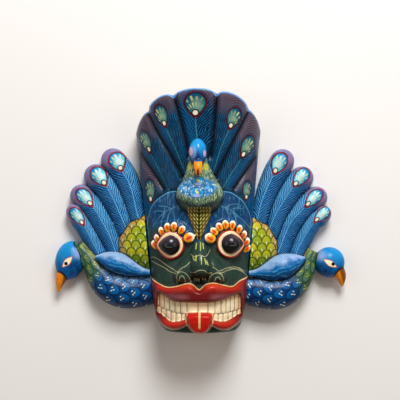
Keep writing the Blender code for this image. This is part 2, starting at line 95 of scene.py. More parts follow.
# Each crown feather's line: beyond its tip, the top of its eye spot, the spot's point, and down
# its shaft; then the spot's half width.
CROWN_FEATHERS = [
    ([(-65, 58), (-63, 41.5), (-60.6, 8.9), (-58, -10)], 7.6),
    ([(-81, 119), (-73.2, 101.8), (-60.2, 71.2), (-51.3, 53.7), (-37.5, 26.3)], 7.4),
    ([(-58, 147), (-51.9, 131.9), (-40.9, 102.5), (-29.9, 77.9), (-17.6, 48.4)], 8.4),
    ([(-4.3, 162), (-4.6, 146), (-4.8, 113.9), (-4, 101.9), (-2.8, 91), (-2, 40)], 15.0),
    ([(54, 143), (47.6, 128.2), (36.6, 100), (28, 81.5), (18.2, 50.9)], 9.6),
    ([(76, 111), (67.3, 95.3), (51.9, 64.9), (39.3, 46.1), (27.8, 26.1)], 9.0),
    ([(63, 56), (61.1, 39), (58.6, 12.6), (56, -10)], 6.4),
]

# Carving on the face: outlines, how far each stands out, and the width of its rounded edge.
UPPER_LIP = [
    (-60, -84), (-51, -89), (-40, -93), (-30, -92), (-16, -88), (-8, -89), (0, -95), (8, -89), (18, -87),
    (30, -90), (41, -92), (50, -86), (61, -82), (60, -104), (55, -127), (51, -126), (50, -105), (44, -103),
    (30, -108), (12, -111), (-12, -111), (-31, -110), (-44, -104), (-50, -102), (-52, -122), (-56, -122),
    (-60, -100),
]
TEETH = [
    (-54, -98), (-40, -102), (0, -106), (40, -101), (53, -99), (52, -126), (41, -131), (30, -136), (16, -135),
    (0, -134), (-16, -134), (-31, -137), (-41, -131), (-53, -124),
]
LOWER_LIPS = [
    [(-56, -127), (-53, -135), (-46, -141), (-36, -145), (-25, -144), (-14, -138), (-14, -131),
     (-26, -134), (-35, -135), (-42, -131), (-48, -126)],
    [(56, -127), (52, -136), (44, -142), (34, -146), (24, -144), (14, -138), (14, -131),
     (25, -134), (34, -134), (41, -131), (48, -127)],
]
TONGUE = [
    (-14.4, -123), (-16.2, -131), (-13.5, -140.4), (-6.9, -147.2), (1, -149.6), (8.9, -147.2), (15, -139.4),
    (16.8, -130), (15.4, -123),
]
LIP_PAD = (13.0, 5.5)
TEETH_PAD = (3.5, 4.0)
LOWER_LIP_PAD = (13.0, 5.5)
TONGUE_PAD = (18.0, 5.5)
TONGUE_FURROW = (1.3, 2.6)
UPPER_TOOTH_GAPS = [-49, -43, -36.5, -29.7, -22.9, -14.9, -1.5, 10.6, 19.2, 26.6, 32.7, 38, 43.5, 49]
LOWER_TOOTH_GAPS = [-47, -41, -34.7, -28.5, -21.7, -15, 16, 22.9, 29, 35.3, 41, 46.5]
BITE_LINE = [(-52, -117), (-44.8, -119.6), (-35.9, -122.3), (-26, -124.2), (0, -124.8), (27.8, -124.9),
             (37.7, -123.6), (52, -120.5)]
TOOTH_GROOVE = (1.1, 1.5)
TOOTH_ROUNDING = 0.7
NOSTRIL = (1.5, -83.0, 9.0, 7.0)

# The eyes: balls with a lid and a pupil, drawn out to a corner on the outer side.
EYES = [(-35.6, -41.8), (38.6, -40.4)]
EYE_RADIUS = 17.0
EYE_LEVEL = 61.0
PUPIL_RADIUS = 12.6
PUPIL_LEVEL = 73.0
PUPIL_HEIGHT = 10.5
LID_RADIUS = 14.4
LID_LEVEL = 72.0
LID_TILT = 0.22
LID_THICKNESS = 2.9
EYE_CORNER = (0.03, 2.4, 0.32)
# The painted pupils' middles, and their spread inwards, up and down, and outwards to their corner.
PUPILS = [(-35.4, -41.3), (39.2, -39.5)]
PUPIL_SPREAD = (11.9, 12.0, 14.8)
# For each petal its angle around the eye, its distance from the eye's middle and its own turn.
PETAL_ARCHES = [
    [(179, 19.8, 118), (154, 17.9, 118), (122, 19.9, 113), (99, 22.4, 98), (79, 23.8, 85), (54, 24.0, 58),
     (23, 25.2, 24)],
    [(-16, 21.6, 50), (6, 20.2, 62), (34, 19.4, 62), (60, 21.0, 68), (85, 23.6, 80), (105, 25.0, 98),
     (123, 25.6, 118), (142, 26.0, 136), (163, 26.6, 156)],
]
PETAL_LIFT = 0.9
PETAL_SIZE = (5.9, 4.1, 3.4)
BIG_PETAL_SIZE = (7.2, 6.2, 4.0)
BROW_WIDTH = (19.0, 28.0)
BROW_RISE = 5.0
BROW_OVERRUN = 12.0

# The forehead bird.
CHEST = ((0.6, 20.0, 72.0), (29.0, 24.0, 23.0))
NECK = ([(0.5, 26, 68), (-0.5, 42, 76.5), (-1.5, 55, 80), (-2, 66, 85)], [26, 19, 13.5, 10])
BIRD_HEAD = ((-1.9, 71.8, 89.5), (10.8, 16.6, 13.0))
BIRD_BEAK = ([(-1.6, 60.5, 97), (-1.5, 52.5, 101.8), (-1.4, 43.4, 102.2)], [5.4, 4.9, 2.6])
BIRD_TAIL = [(-12, 8), (-13.5, -3), (-8, -19), (-1, -36), (7.5, -20), (13.5, -5), (13, 8)]
BIRD_TAIL_PAD = (7.0, 7.0)

# The nose: a bridge, two wings and the broad form that they stand on.
NOSE_BASE = ((1.0, -70.0, 68.0), (27.0, 17.0, 15.0))
NOSE_BRIDGE = ([(0, -33, 65), (0.5, -48, 74), (1, -62, 82), (1.2, -69, 83)], [8, 10.5, 12, 11])
NOSE_WINGS = [
    ([(-4, -54, 70), (-13, -68, 74), (-20, -78, 74)], [9, 11.5, 12]),
    ([(5, -54, 70), (15, -68, 74), (22, -79, 74)], [9, 11.5, 12]),
]

# Lines drawn with a fine brush in cream on the face, and in sky blue on the forehead.
CREAM_LINES = [
    [(-62, -59), (-57.8, -57.3), (-51.2, -59.3), (-42.3, -65), (-34.7, -69.6), (-27.1, -73.6)],
    [(-59.2, -62.5), (-51.2, -66.1), (-42.3, -69.9), (-36, -74), (-29.5, -75.6)],
    [(16.7, -67.5), (20.3, -69.7), (23.9, -72.2), (31.5, -70.1), (40.3, -68.6), (47.9, -69.6), (56, -74.6)],
    [(25.2, -74.6), (28.9, -74.2), (36.5, -72.1), (44.1, -71.2), (51.8, -74.2), (58.5, -79.5)],
    [(-10.1, -51.9), (-6.4, -54.4), (-2.7, -53.7), (0.9, -52.5), (6.9, -54.4), (10.6, -51.7), (13.1, -47.2)],
    [(-11.2, -61.3), (-16.1, -66.1), (-20.9, -68.6), (-25.8, -73.5), (-27.4, -80), (-27.2, -87)],
    [(-25.5, -73.8), (-20.9, -73.2), (-16.1, -75.4), (-12.5, -80), (-10.1, -86)],
    [(-24.6, -84), (-23.4, -79.5), (-21, -77.9), (-18.3, -80.4), (-16.8, -85.5)],
    [(11.5, -85.5), (13.2, -79.6), (17.3, -75.6), (22.7, -74.6), (27.9, -77.7), (30.3, -86)],
    [(18.7, -84.4), (20.3, -80.6), (23.3, -79.4), (26, -83.2)],
    [(-10, -73.6), (-5.5, -73.6), (-1.5, -71.2), (2.1, -70.6), (6.9, -71.4), (10, -74.6), (15, -74.4)],
    [(-5.6, -82.3), (-5.4, -85)], [(-2.8, -81.9), (-2.8, -84.3)], [(-0.3, -82.6), (-0.2, -85.6)],
    [(4.1, -81.8), (4.3, -84.4)], [(7.2, -82.2), (7.6, -84)],
]
SKY_LINES = [
    [(-24.8, 7.2), (-33.5, 3.4), (-42.3, -0.9), (-51.2, -9.6), (-57.6, -18.4)],
    [(24.2, 6.6), (31.6, 4.7), (40.4, 0.3), (47.9, -5.9), (55.6, -12.2), (63.6, -21.2)],
    [(-33.5, 3.4), (-42, 6), (-50, 6.5)],
    [(-42.3, -0.9), (-50, 0.5), (-57, -1)],
    [(-33.5, 3.4), (-38, -5), (-40, -13)],
    [(-42.3, -0.9), (-46, -10), (-47, -19)],
    [(31.6, 4.7), (40, 8.5), (47, 9)],
    [(38, 1.8), (46, 4), (53, 3)],
    [(31.6, 4.7), (36, -4), (37, -12)],
    [(40.4, 0.3), (45, -9), (46, -19)],
]
# Short dabs of the same cream on the nose.
NOSE_DABS = [
    [(-3.4, -39), (-4, -45.2)], [(1.5, -37.8), (1.5, -47.2)], [(4.6, -39), (5.1, -45)],
    [(-3.9, -53.2), (-3.9, -59.4)], [(-7.6, -55.1), (-6.3, -58.5)], [(2.6, -54), (2.7, -63)],
    [(6.6, -57), (8.1, -63.2)], [(9.2, -60), (10.8, -64.8)],
]

# The hollow behind the block: wall thickness at the sides, behind the front and at the chin.
WALL_SIDE = 13.0
WALL_FRONT = 15.0
HOLLOW_CHIN_Y = -128.0
HOLLOW_STEPS_Y = [-128, -110, -60, 0, 60, 110, 170]
HOLLOW_CHIN_SHARE = (0.7, 0.75)
HOLLOW_SEGMENTS = 96
HOLLOW_PITCH = 3.0
GOUGE_SIZE = (11.0, 26.0, 0.8)

# The side peacocks, in rows of (x, y, half width). A feather's first row is its round tip's middle.
FEATHER_TOP = 23.0
FEATHER_SPREAD = 1.0
FEATHER_BOARD_TOP = 9.0
FEATHERS = {
    "left": [
        [(-111.5, 65, 16), (-103, 54, 15.5), (-94, 40, 14.5), (-85, 14, 12.5), (-79, -14, 10), (-76, -32, 8)],
        [(-133.5, 44.5, 16), (-127, 37, 15.5), (-119, 27.5, 14.5), (-103, -1, 12.5), (-94, -25, 10.5),
         (-88, -42, 9)],
        [(-152.3, 19.2, 15), (-146, 12, 14.5), (-136, 1.5, 14), (-119, -28, 12.5), (-108, -50, 10.5),
         (-103, -64, 8)],
        [(-160, -2, 12), (-155.5, -9.5, 11.5), (-149, -20, 11), (-138, -38, 10), (-128, -56, 8)],
    ],
    "right": [
        [(107.5, 64.5, 15.5), (99, 49, 15), (89, 28, 13), (81, 1, 11), (78, -18, 9), (76, -34, 8)],
        [(132.8, 42.5, 15), (127, 35.5, 15), (119, 26.5, 14), (103, 0, 12), (94, -26, 9.5), (89, -40, 8)],
        [(151.2, 17, 14.5), (144, 11.5, 14), (135, 3.5, 13.5), (118, -20, 12), (107, -46, 10), (104, -60, 8)],
        [(158.8, -4, 11.5), (153.5, -9.3, 11.5), (146.5, -15.5, 11), (132, -42, 10), (126, -58, 8)],
    ],
}
# Each side feather's painted line, as for the crown's, and its eye spot's half width.
FEATHER_LINES = {
    "left": [
        ([(-119, 91), (-110.5, 75.3), (-98.5, 50), (-88.6, 33.1), (-78.4, -7.8), (-75.3, -19.1)], 12.0),
        ([(-148, 69), (-137.5, 56), (-118.4, 31), (-103.3, 1.1), (-93.7, -21.9), (-86.4, -39.3)], 10.9),
        ([(-168.1, 40), (-157.1, 28), (-135.9, 5), (-118, -24.5), (-107.7, -50)], 9.4),
        ([(-174.1, 15.1), (-165.1, 4.1), (-147, -19.5), (-128.5, -54.6)], 8.2),
    ],
    "right": [
        ([(117, 89), (109, 75), (94.5, 45.5), (80.2, 13.9), (75.1, -7.8), (72.1, -19.2)], 10.8),
        ([(151, 66), (140.5, 54.5), (119.5, 30), (100.6, 1.1), (87.7, -26.9), (83.2, -39.3)], 9.6),
        ([(169, 38), (158, 27), (134.5, 4.5), (116, -16.8), (100.6, -53.8)], 8.8),
        ([(178, 14), (169, 5), (146, -15.5), (128.8, -42.4), (123.9, -54.6)], 7.6),
    ],
}
RUMPS = {
    "left": ((-62.0, -46.0, 12.0), (42.5, 42.0, 30.0)),
    "right": ((61.0, -49.0, 12.0), (40.5, 42.0, 30.0)),
}
BODIES = {
    "left": [(-155, -45, 7.5), (-143, -61, 11), (-132, -77, 15.5), (-119, -93, 20), (-101, -102, 22),
             (-81, -103, 21.5), (-50, -97, 19)],
    "right": [(146, -51, 7), (139, -65, 11), (133, -79, 15), (120, -95, 19), (103, -104, 21.5),
              (84, -104, 21.5), (50, -98, 19)],
}
BODY_LEVEL = 16.0
BACKING_TOP = 17.0
WINGS = {
    "left": [(-132.5, -58.5, 1.5), (-121, -61, 9), (-108, -64.8, 13), (-92, -70, 12.5), (-76, -75.5, 8),
             (-64, -77.9, 3.8), (-52, -79, 3)],
    "right": [(135, -60, 1.5), (124, -64, 10), (109, -69.5, 15.5), (93, -74.5, 14), (78, -77.5, 8.5),
              (65, -78.9, 3.8), (52, -80, 3)],
}
WING_LEVELS = [28.5, 28.5, 29.0, 29.0, 31.0, 34.0, 35.0]
HEADS = {
    "left": ((-166.2, -63.8, 13.0), (19.2, 25.2, 16.0), 12.0),
    "right": ((167.4, -66.2, 13.0), (19.8, 19.6, 16.0), 20.0),
}
BEAKS = {
    "left": ([(-173.5, -77.5, 15), (-178.6, -89.5, 15), (-181.3, -104.2, 14)], [9.0, 6.6, 1.2]),
    "right": ([(176.0, -73.5, 15), (182.0, -84.5, 15), (184.2, -97.5, 14)], [9.6, 7.0, 1.2]),
}
# Each side bird's eye: middle, slant, half length and half width of the white, and its pupil.
BIRD_EYES = {
    "left": ((-168.0, -64.9), 46.0, 8.6, 3.3, (-169.6, -67.0)),
    "right": ((166.8, -66.8), -31.0, 8.9, 3.1, (170.3, -67.6)),
}

# How the pieces are put together and skinned.
SEAM_GAP = 0.3
CURVE_STEPS = 8
ROD_SEGMENTS = 40
BELOW = -8.0
SLAB_TOP = 10.0
SLAB_VOXEL = 1.3
FAR = 99.0
GROOVE_ROUNDS = 24
SMOOTH_PASSES = 2
SHARP_ANGLE = 55.0
MERGE_DISTANCE = 0.0005
NEAR_PLANE = 0.05

# The block's paints and the side birds' paints, by their number on the piece.
ON_CROWN, ON_SKIN, ON_MOUTH, ON_EYE, ON_BIRD, ON_BARE_WOOD, ON_SAWN_SIDE = range(7)
BIRD_PAINTED, BIRD_BARE_WOOD, BIRD_SAWN_SIDE = range(3)

# The varnish.
SPECULAR_LEVEL = 0.12
COAT_ROUGHNESS = 0.12
BRUSH_BUMP = (0.35, 0.25 * MM)
GRAIN_BUMP = (0.4, 0.3 * MM)

# The stage, in metres.
FLOOR_HALF = 4.0
FLOOR_Z = -0.0005
LAMPS = [
    ("key", (0.3, 1.5, 1.45), 0.85, 1.0),
    ("left_fill", (-1.3, 0.2, 1.3), 1.0, 0.07),
    ("right_fill", (1.3, 0.2, 1.3), 1.0, 0.07),
]
ROOM_TINT = (1.0, 0.84, 0.7, 1.0)
CAMERA_PLACE = (-0.00071, 0.01374, 1.230)
CAMERA_LENS = 85.0
CAMERA_SENSOR = 36.0


def srgb(red, green, blue):
    """A paint colour given as 0 to 255 in display values, as linear light."""
    shares = [value / 255 for value in (red, green, blue)]
    return tuple(share / 12.92 if share < 0.04045 else ((share + 0.055) / 1.055) ** 2.4 for share in shares)


def smooth_line(points, closed=False, steps=CURVE_STEPS):
    """Rows of numbers smoothed by a Catmull-Rom curve through them."""
    rows = np.array(points, float)
    if closed:
        padded = np.vstack([rows[-1:], rows, rows[:2]])
    else:
        padded = np.vstack([2 * rows[0] - rows[1], rows, 2 * rows[-1] - rows[-2]])
    line = []
    for a, b, c, d in zip(padded, padded[1:], padded[2:], padded[3:]):
        for t in np.arange(steps) / steps:
            quadratic, cubic = 2 * a - 5 * b + 4 * c - d, 3 * b - a - 3 * c + d
            line.append(0.5 * (2 * b + (c - a) * t + quadratic * t**2 + cubic * t**3))
    if not closed:
        line.append(rows[-1])
    return np.array(line)


def distance_to(line, xy, closed=False):
    """Distance of each point of xy to a polyline."""
    ends = np.roll(line, -1, axis=0) if closed else line[1:]
    nearest = np.full(len(xy), np.inf)
    for a, b in zip(line, ends):
        along = b - a
        t = np.clip(((xy - a) @ along) / max(along @ along, 1e-9), 0, 1)
        nearest = np.minimum(nearest, np.hypot(*(xy - a - t[:, None] * along).T))
    return nearest


def inside(outline, xy):
    """Which points of xy lie within a closed outline."""
    crossings = np.zeros(len(xy), int)
    for (ax, ay), (bx, by) in zip(outline, np.roll(outline, -1, axis=0)):
        spans = (ay > xy[:, 1]) != (by > xy[:, 1])
        at_x = ax + (xy[:, 1] - ay) * (bx - ax) / (by - ay if by != ay else 1e-9)
        crossings += spans & (xy[:, 0] < at_x)
    return crossings % 2 == 1


def depth_within(points, xy):
    """Distance to a smoothed closed outline, positive inside it and negative outside."""
    outline = smooth_line(points, closed=True)
    return np.where(inside(outline, xy), 1, -1) * distance_to(outline, xy, closed=True)


def raised(xy, points, rise, edge):
    """A pad over a smoothed outline: full height inside, rounded off over its edge."""
    depth = np.clip(depth_within(points, xy), 0, None)
    return rise * np.sqrt(1 - (1 - np.clip(depth / edge, 0, 1)) ** 2)


def groove(xy, points, width, depth):
    """A rounded valley with a sharp bottom along a smoothed line, as a negative height."""
    return -depth * (1 - np.clip(distance_to(smooth_line(points), xy) / width, 0, 1)) ** 1.5


def along_and_across(points, xy, steps=CURVE_STEPS):
    """How far each point is along a smoothed line and across it, going on straight past its ends."""
    line = smooth_line(points, steps=steps)[:, :2]
    lengths = np.hypot(*np.diff(line, axis=0).T)
    starts = np.concatenate([[0], np.cumsum(lengths)])
    nearest = np.full(len(xy), np.inf)
    along, across = np.zeros(len(xy)), np.zeros(len(xy))
    for number, (a, b, length) in enumerate(zip(line, line[1:], lengths)):
        unit = (b - a) / length
        low = -np.inf if number == 0 else 0
        high = np.inf if number == len(lengths) - 1 else length
        t = np.clip((xy - a) @ unit, low, high)
        miss = np.hypot(*(xy - a - t[:, None] * unit).T)
        closer = miss < nearest
        nearest = np.where(closer, miss, nearest)
        along = np.where(closer, starts[number] + t, along)
        across = np.where(closer, unit[0] * (xy - a)[:, 1] - unit[1] * (xy - a)[:, 0], across)
    return along, across, starts


def feather_chart(feather, xy):
    """Pattern places for a feather: across in its eye spot's half widths, along from point to top."""
    points, half = feather
    along, across, starts = along_and_across(points, xy)
    top, point = starts[CURVE_STEPS], starts[2 * CURVE_STEPS]
    outward = -1 if points[0][0] > 5 else 1
    return np.column_stack([outward * across / half, (point - along) / (point - top)])


def side_x(side, y):
    """The x of a straight saw-cut side at height y on the mask."""
    (x0, y0), (x1, y1) = side
    return x0 + (x1 - x0) * (y - y0) / (y1 - y0)


def rounded_front(xy):
    """The half-round front of the block before anything is carved on it."""
    x, y = xy.T
    left, right = side_x(LEFT_SIDE, y), side_x(RIGHT_SIDE, y)
    across = (2 * x - left - right) / (right - left)
    rounding = np.sqrt(np.clip(1 - across**2, LEAST_ROUNDING, 1))
    return SIDE_EDGE_Z + (np.interp(y, MIDDLE_Y, MIDDLE_Z) - SIDE_EDGE_Z) * rounding


def eye_arch(xy, centre, first, last):
    """The raised brow around the upper side of an eye, as a height."""
    offset = xy - np.array(centre)
    radius = np.hypot(*offset.T)
    middle, half = math.radians((first + last) / 2), math.radians(abs(last - first) / 2 + BROW_OVERRUN)
    turn = np.abs((np.arctan2(offset[:, 1], offset[:, 0]) - middle + math.pi) % (2 * math.pi) - math.pi)
    across = np.clip(1 - np.abs(radius - sum(BROW_WIDTH) / 2) / (BROW_WIDTH[1] - BROW_WIDTH[0]), 0, 1)
    return BROW_RISE * np.sqrt(across) * np.clip((half - turn) * 6, 0, 1)


def bite_at(x):
    """Where the upper and the lower teeth meet."""
    return np.interp(x, *np.array(BITE_LINE).T)


def tooth_relief(xy):
    """Rounded teeth in two rows, parted by grooves and by the line where they bite together."""
    width, depth = TOOTH_GROOVE
    x, y = xy.T
    relief = -0.7 * depth * np.exp(-(((y - bite_at(x)) / width) ** 2))
    for gaps, row in ((UPPER_TOOTH_GAPS, y > bite_at(x)), (LOWER_TOOTH_GAPS, y <= bite_at(x))):
        to_gap = np.min(np.abs(x[:, None] - np.array(gaps)), axis=1)
        tooth = TOOTH_ROUNDING * np.sqrt(np.clip(to_gap / 4, 0, 1))
        relief += row * (tooth - depth * np.exp(-((to_gap / width) ** 2)))
    return relief


def mouth_pads(xy):
    """How far the teeth, the lips and the tongue each stand out from the face."""
    teeth = raised(xy, TEETH, *TEETH_PAD)
    teeth += tooth_relief(xy) * (teeth > 0)
    lower_lips = [raised(xy, lip, *LOWER_LIP_PAD) for lip in LOWER_LIPS]
    lips = np.maximum.reduce([raised(xy, UPPER_LIP, *LIP_PAD), *lower_lips])
    furrow_width, furrow_depth = TONGUE_FURROW
    tongue = raised(xy, TONGUE, *TONGUE_PAD)
    tongue -= furrow_depth * np.exp(-((xy[:, 0] / furrow_width) ** 2)) * (tongue > 0)
    return teeth, lips, tongue


def carved_front(xy):
    """The block's front with the crown's grooves and the face's lips, teeth and tongue."""
    height = rounded_front(xy)
    forehead = raised(xy, FOREHEAD_OUTLINE, 1, FOREHEAD_EDGE)
    height += FOREHEAD_RISE * forehead
    for line in CROWN_GROOVES:
        height += groove(xy, line, *CROWN_GROOVE) * (1 - forehead)
    rim_width, rim_drop = CROWN_RIM
    to_rim = distance_to(block_outline(), xy, closed=True)
    height -= rim_drop * (1 - np.sqrt(1 - (1 - np.clip(to_rim / rim_width, 0, 1)) ** 2))
    for centre, arch in zip(EYES, PETAL_ARCHES):
        height += eye_arch(xy, centre, arch[0][0], arch[-1][0])
    height += raised(xy, BIRD_TAIL, *BIRD_TAIL_PAD)
    nostril_x, nostril_y, nostril_width, nostril_depth = NOSTRIL
    from_nostril = np.hypot(xy[:, 0] - nostril_x, xy[:, 1] - nostril_y)
    height -= nostril_depth * np.exp(-(from_nostril / nostril_width) ** 2)
    return height + np.maximum.reduce(mouth_pads(xy))


def block_outline():
    """The block seen from the front: straight sides, rounded chin and five lobes at the top."""
    points = [*smooth_line(CHIN_OUTLINE)]
    for (ax, ay), (bx, by), rise in zip(LOBE_NOTCHES, LOBE_NOTCHES[1:], LOBE_RISES):
        out = Vector((by - ay, ax - bx)).normalized()
        for t in np.arange(ARC_STEPS) / ARC_STEPS:
            bulge = rise * math.sqrt(4 * t * (1 - t))
            points.append((ax + (bx - ax) * t + out.x * bulge, ay + (by - ay) * t + out.y * bulge))
    points.append(LOBE_NOTCHES[-1])
    return np.array(points)


def object_of(mesh, name="shape"):
    thing = bpy.data.objects.new(name, mesh)
    bpy.context.scene.collection.objects.link(thing)
    return thing


def settled(thing):
    """The object's mesh with its modifiers worked out; the object itself is removed."""
    bpy.context.view_layer.update()
    graph = bpy.context.evaluated_depsgraph_get()
    mesh = bpy.data.meshes.new_from_object(thing.evaluated_get(graph))
    bpy.data.objects.remove(thing)
    return mesh


def mesh_of(bm):
    mesh = bpy.data.meshes.new("shape")
    bm.to_mesh(mesh)
    bm.free()
    return mesh


def places_of(mesh):
    """The mesh's vertices as rows of x, y and z."""
    places = np.empty(len(mesh.vertices) * 3)
    mesh.vertices.foreach_get("co", places)
    return places.reshape(-1, 3)


def ellipsoid(centre, radii, turn=0.0):
    """A ball stretched to three radii and turned about the vertical by degrees."""
    bm = bmesh.new()
    place = (
        Matrix.Translation(centre)
        @ Matrix.Rotation(math.radians(turn), 4, "Z")
        @ Matrix.Diagonal((*radii, 1))
    )
    bmesh.ops.create_uvsphere(bm, u_segments=48, v_segments=32, radius=1, matrix=place)
    return mesh_of(bm)


def pointed(mesh, centre, side):
    """Draws the outer side of a round form out to a corner, as an eye has."""
    stretch, sharpness, pinch = EYE_CORNER
    for vert in mesh.vertices:
        out = max(0.0, (vert.co.x - centre[0]) * side / LID_RADIUS) ** sharpness
        vert.co.x += side * LID_RADIUS * stretch * out
        vert.co.y = centre[1] + (vert.co.y - centre[1]) * (1 - pinch * min(out, 1))
    return mesh


def eye_rounds(xy, centre):
    """The distance of each point from an eye's middle, counted as if the eye were still round."""
    stretch, sharpness, pinch = EYE_CORNER
    side = math.copysign(1, centre[0])
    drawn = (xy[:, 0] - centre[0]) * side / LID_RADIUS
    out = drawn.copy()
    for _ in range(12):
        out = drawn - stretch * np.clip(out, 0, 1.3) ** sharpness
    squeeze = 1 - pinch * np.clip(out, 0, 1) ** sharpness
    return np.hypot(out * LID_RADIUS, (xy[:, 1] - centre[1]) / squeeze)


def lofted(places, segments):
    """A closed skin over circles given by their matrices, its ends filled."""
    bm = bmesh.new()
    rings = []
    for place in places:
        made = bmesh.ops.create_circle(bm, cap_ends=False, segments=segments, radius=1, matrix=place)
        rings.append(list({edge for vert in made["verts"] for edge in vert.link_edges}))
    for ring, following in zip(rings, rings[1:]):
        bmesh.ops.bridge_loops(bm, edges=[*ring, *following])
    bmesh.ops.holes_fill(bm, edges=[*rings[0], *rings[-1]], sides=0)
    bmesh.ops.recalc_face_normals(bm, faces=bm.faces)
    return bm


def rod(points, radii):
    """A round rod of changing thickness along smoothed points."""
    rows = smooth_line([(*point, radius) for point, radius in zip(points, radii)])
    ways = np.gradient(rows[:, :3], axis=0)
    places = []
    for row, way in zip(rows, ways):
        turned = Vector(way).to_track_quat("Z", "Y").to_matrix().to_4x4()
        places.append(Matrix.Translation(row[:3]) @ turned @ Matrix.Diagonal((row[3], row[3], 1, 1)))
    return mesh_of(lofted(places, ROD_SEGMENTS))


def levelled(rows, levels):
    """The points and radii of a rod from rows of (x, y, half width) and their levels."""
    return [(x, y, z) for (x, y, _), z in zip(rows, levels)], [half for *_, half in rows]


def ribbon(rows):
    """The outline of a band from rows of (x, y, half width), with a half-round first end."""
    line = smooth_line(rows)
    along = np.gradient(line[:, :2], axis=0)
    along /= np.linalg.norm(along, axis=1)[:, None]
    sideways = np.column_stack([-along[:, 1], along[:, 0]]) * line[:, 2:]
    turns = np.linspace(0, math.pi, ARC_STEPS)[1:-1, None]
    tip = line[0, :2] - np.cos(turns) * sideways[0] - np.sin(turns) * along[0] * line[0, 2]
    return np.vstack([(line[:, :2] - sideways)[::-1], tip, line[:, :2] + sideways])


def plate(outline, bottom, top):
    """A flat slab between two heights, with the given outline."""
    bm = bmesh.new()
    rim = [bm.verts.new((x, y, bottom)) for x, y in outline]
    face = bm.faces.new(rim)
    bmesh.ops.triangulate(bm, faces=[face])
    lifted = bmesh.ops.extrude_face_region(bm, geom=bm.faces[:])["geom"]
    verts = [part for part in lifted if isinstance(part, bmesh.types.BMVert)]
    bmesh.ops.translate(bm, verts=verts, vec=(0, 0, top - bottom))
    bmesh.ops.recalc_face_normals(bm, faces=bm.faces)
    return mesh_of(bm)


def joined(meshes):
    bm = bmesh.new()
    for mesh in meshes:
        bm.from_mesh(mesh)
        bpy.data.meshes.remove(mesh)
    return mesh_of(bm)


def remeshed(mesh, size):
    """The mesh as one closed skin of even faces."""
    thing = object_of(mesh)
    remesh = thing.modifiers.new("skin", "REMESH")
    remesh.mode = "VOXEL"
    remesh.voxel_size = size
    return settled(thing)


def carved(meshes, size, passes):
    """The shapes as one smoothed closed skin."""
    thing = object_of(remeshed(joined(meshes), size))
    smooth = thing.modifiers.new("soften", "SMOOTH")
    smooth.factor = 0.5
    smooth.iterations = passes
    return settled(thing)


def cut_flat(mesh, point, outward):
    """The mesh cut off by a plane, the side that outward points to being taken away."""
    bm = bmesh.new()
    bm.from_mesh(mesh)
    bpy.data.meshes.remove(mesh)
    everything = [*bm.verts, *bm.edges, *bm.faces]
    made = bmesh.ops.bisect_plane(
        bm, geom=everything, dist=MERGE_DISTANCE, plane_co=point, plane_no=outward, clear_outer=True
    )
    edges = [part for part in made["geom_cut"] if isinstance(part, bmesh.types.BMEdge)]
    bmesh.ops.holes_fill(bm, edges=edges, sides=0)
    bmesh.ops.triangulate(bm, faces=[face for face in bm.faces if len(face.verts) > 4])
    return mesh_of(bm)


def side_plane(side, gap):
    """A point on a saw-cut side moved outwards by the gap, and the way off the block."""
    (x0, y0), (x1, y1) = side
    outward = Vector((y0 - y1, x1 - x0, 0)).normalized()
    if outward.x * x0 < 0:
        outward.negate()
    return Vector((x0, y0, 0)) + outward * gap, outward


def hollow_at(y):
    """The hollow's middle, half width and height at y."""
    left, right = side_x(LEFT_SIDE, y), side_x(RIGHT_SIDE, y)
    chin = 1 - np.clip((y - HOLLOW_CHIN_Y) / (HOLLOW_STEPS_Y[1] - HOLLOW_CHIN_Y), 0, 1)
    half = ((right - left) / 2 - WALL_SIDE) * (1 - (1 - HOLLOW_CHIN_SHARE[0]) * chin)
    height = (np.interp(y, MIDDLE_Y, MIDDLE_Z) - WALL_FRONT) * (1 - (1 - HOLLOW_CHIN_SHARE[1]) * chin)
    return (left + right) / 2, half, height


def hollow_cutter():
    """The scooped-out space behind the face and the crown, its surface left in gouge marks."""
    upright = Matrix.Rotation(math.pi / 2, 4, "X")
    places = []
    for y in np.arange(HOLLOW_STEPS_Y[0], HOLLOW_STEPS_Y[-1], HOLLOW_PITCH):
        middle, half, height = hollow_at(y)
        places.append(Matrix.Translation((middle, y, 0)) @ upright @ Matrix.Diagonal((half, height, 1, 1)))
    bm = lofted(places, HOLLOW_SEGMENTS)
    wide, long, depth = GOUGE_SIZE
    for vert in bm.verts:
        middle, half, height = hollow_at(vert.co.y)
        away = Vector((vert.co.x - middle, 0, vert.co.z))
        around = math.atan2(away.z, away.x) * (half + height) / 2
        row = math.floor(around / wide)
        step = (vert.co.y / long + 0.37 * row + 0.15 * math.sin(5.1 * row)) % 1
        scoop = math.sin(math.pi * (around / wide - row)) * math.sqrt(max(0.0, 1 - (2 * step - 1) ** 2))
        if away.length > 1:
            vert.co += away.normalized() * depth * (scoop - 0.8)
    return object_of(mesh_of(bm), "hollow_cutter")


def block_body():
    """The block's slab, its front pushed out to the carved form."""
    mesh = remeshed(plate(block_outline(), BELOW, SLAB_TOP), SLAB_VOXEL)
    places = places_of(mesh)
    share = (places[:, 2] - BELOW) / (SLAB_TOP - BELOW)
    places[:, 2] = BELOW + share * (carved_front(places[:, :2]) - BELOW)
    mesh.vertices.foreach_set("co", places.ravel())
    return mesh


def petal_places():
    """Each small petal's middle, size and turn in degrees."""
    for (x, y), arch in zip(EYES, PETAL_ARCHES):
        for angle, reach, turn in arch:
            size = BIG_PETAL_SIZE if (angle, reach, turn) == arch[-1] else PETAL_SIZE
            way = math.radians(angle)
            place = np.array([[x + reach * math.cos(way), y + reach * math.sin(way)]])
            yield (*place[0], carved_front(place)[0] + PETAL_LIFT), size, turn


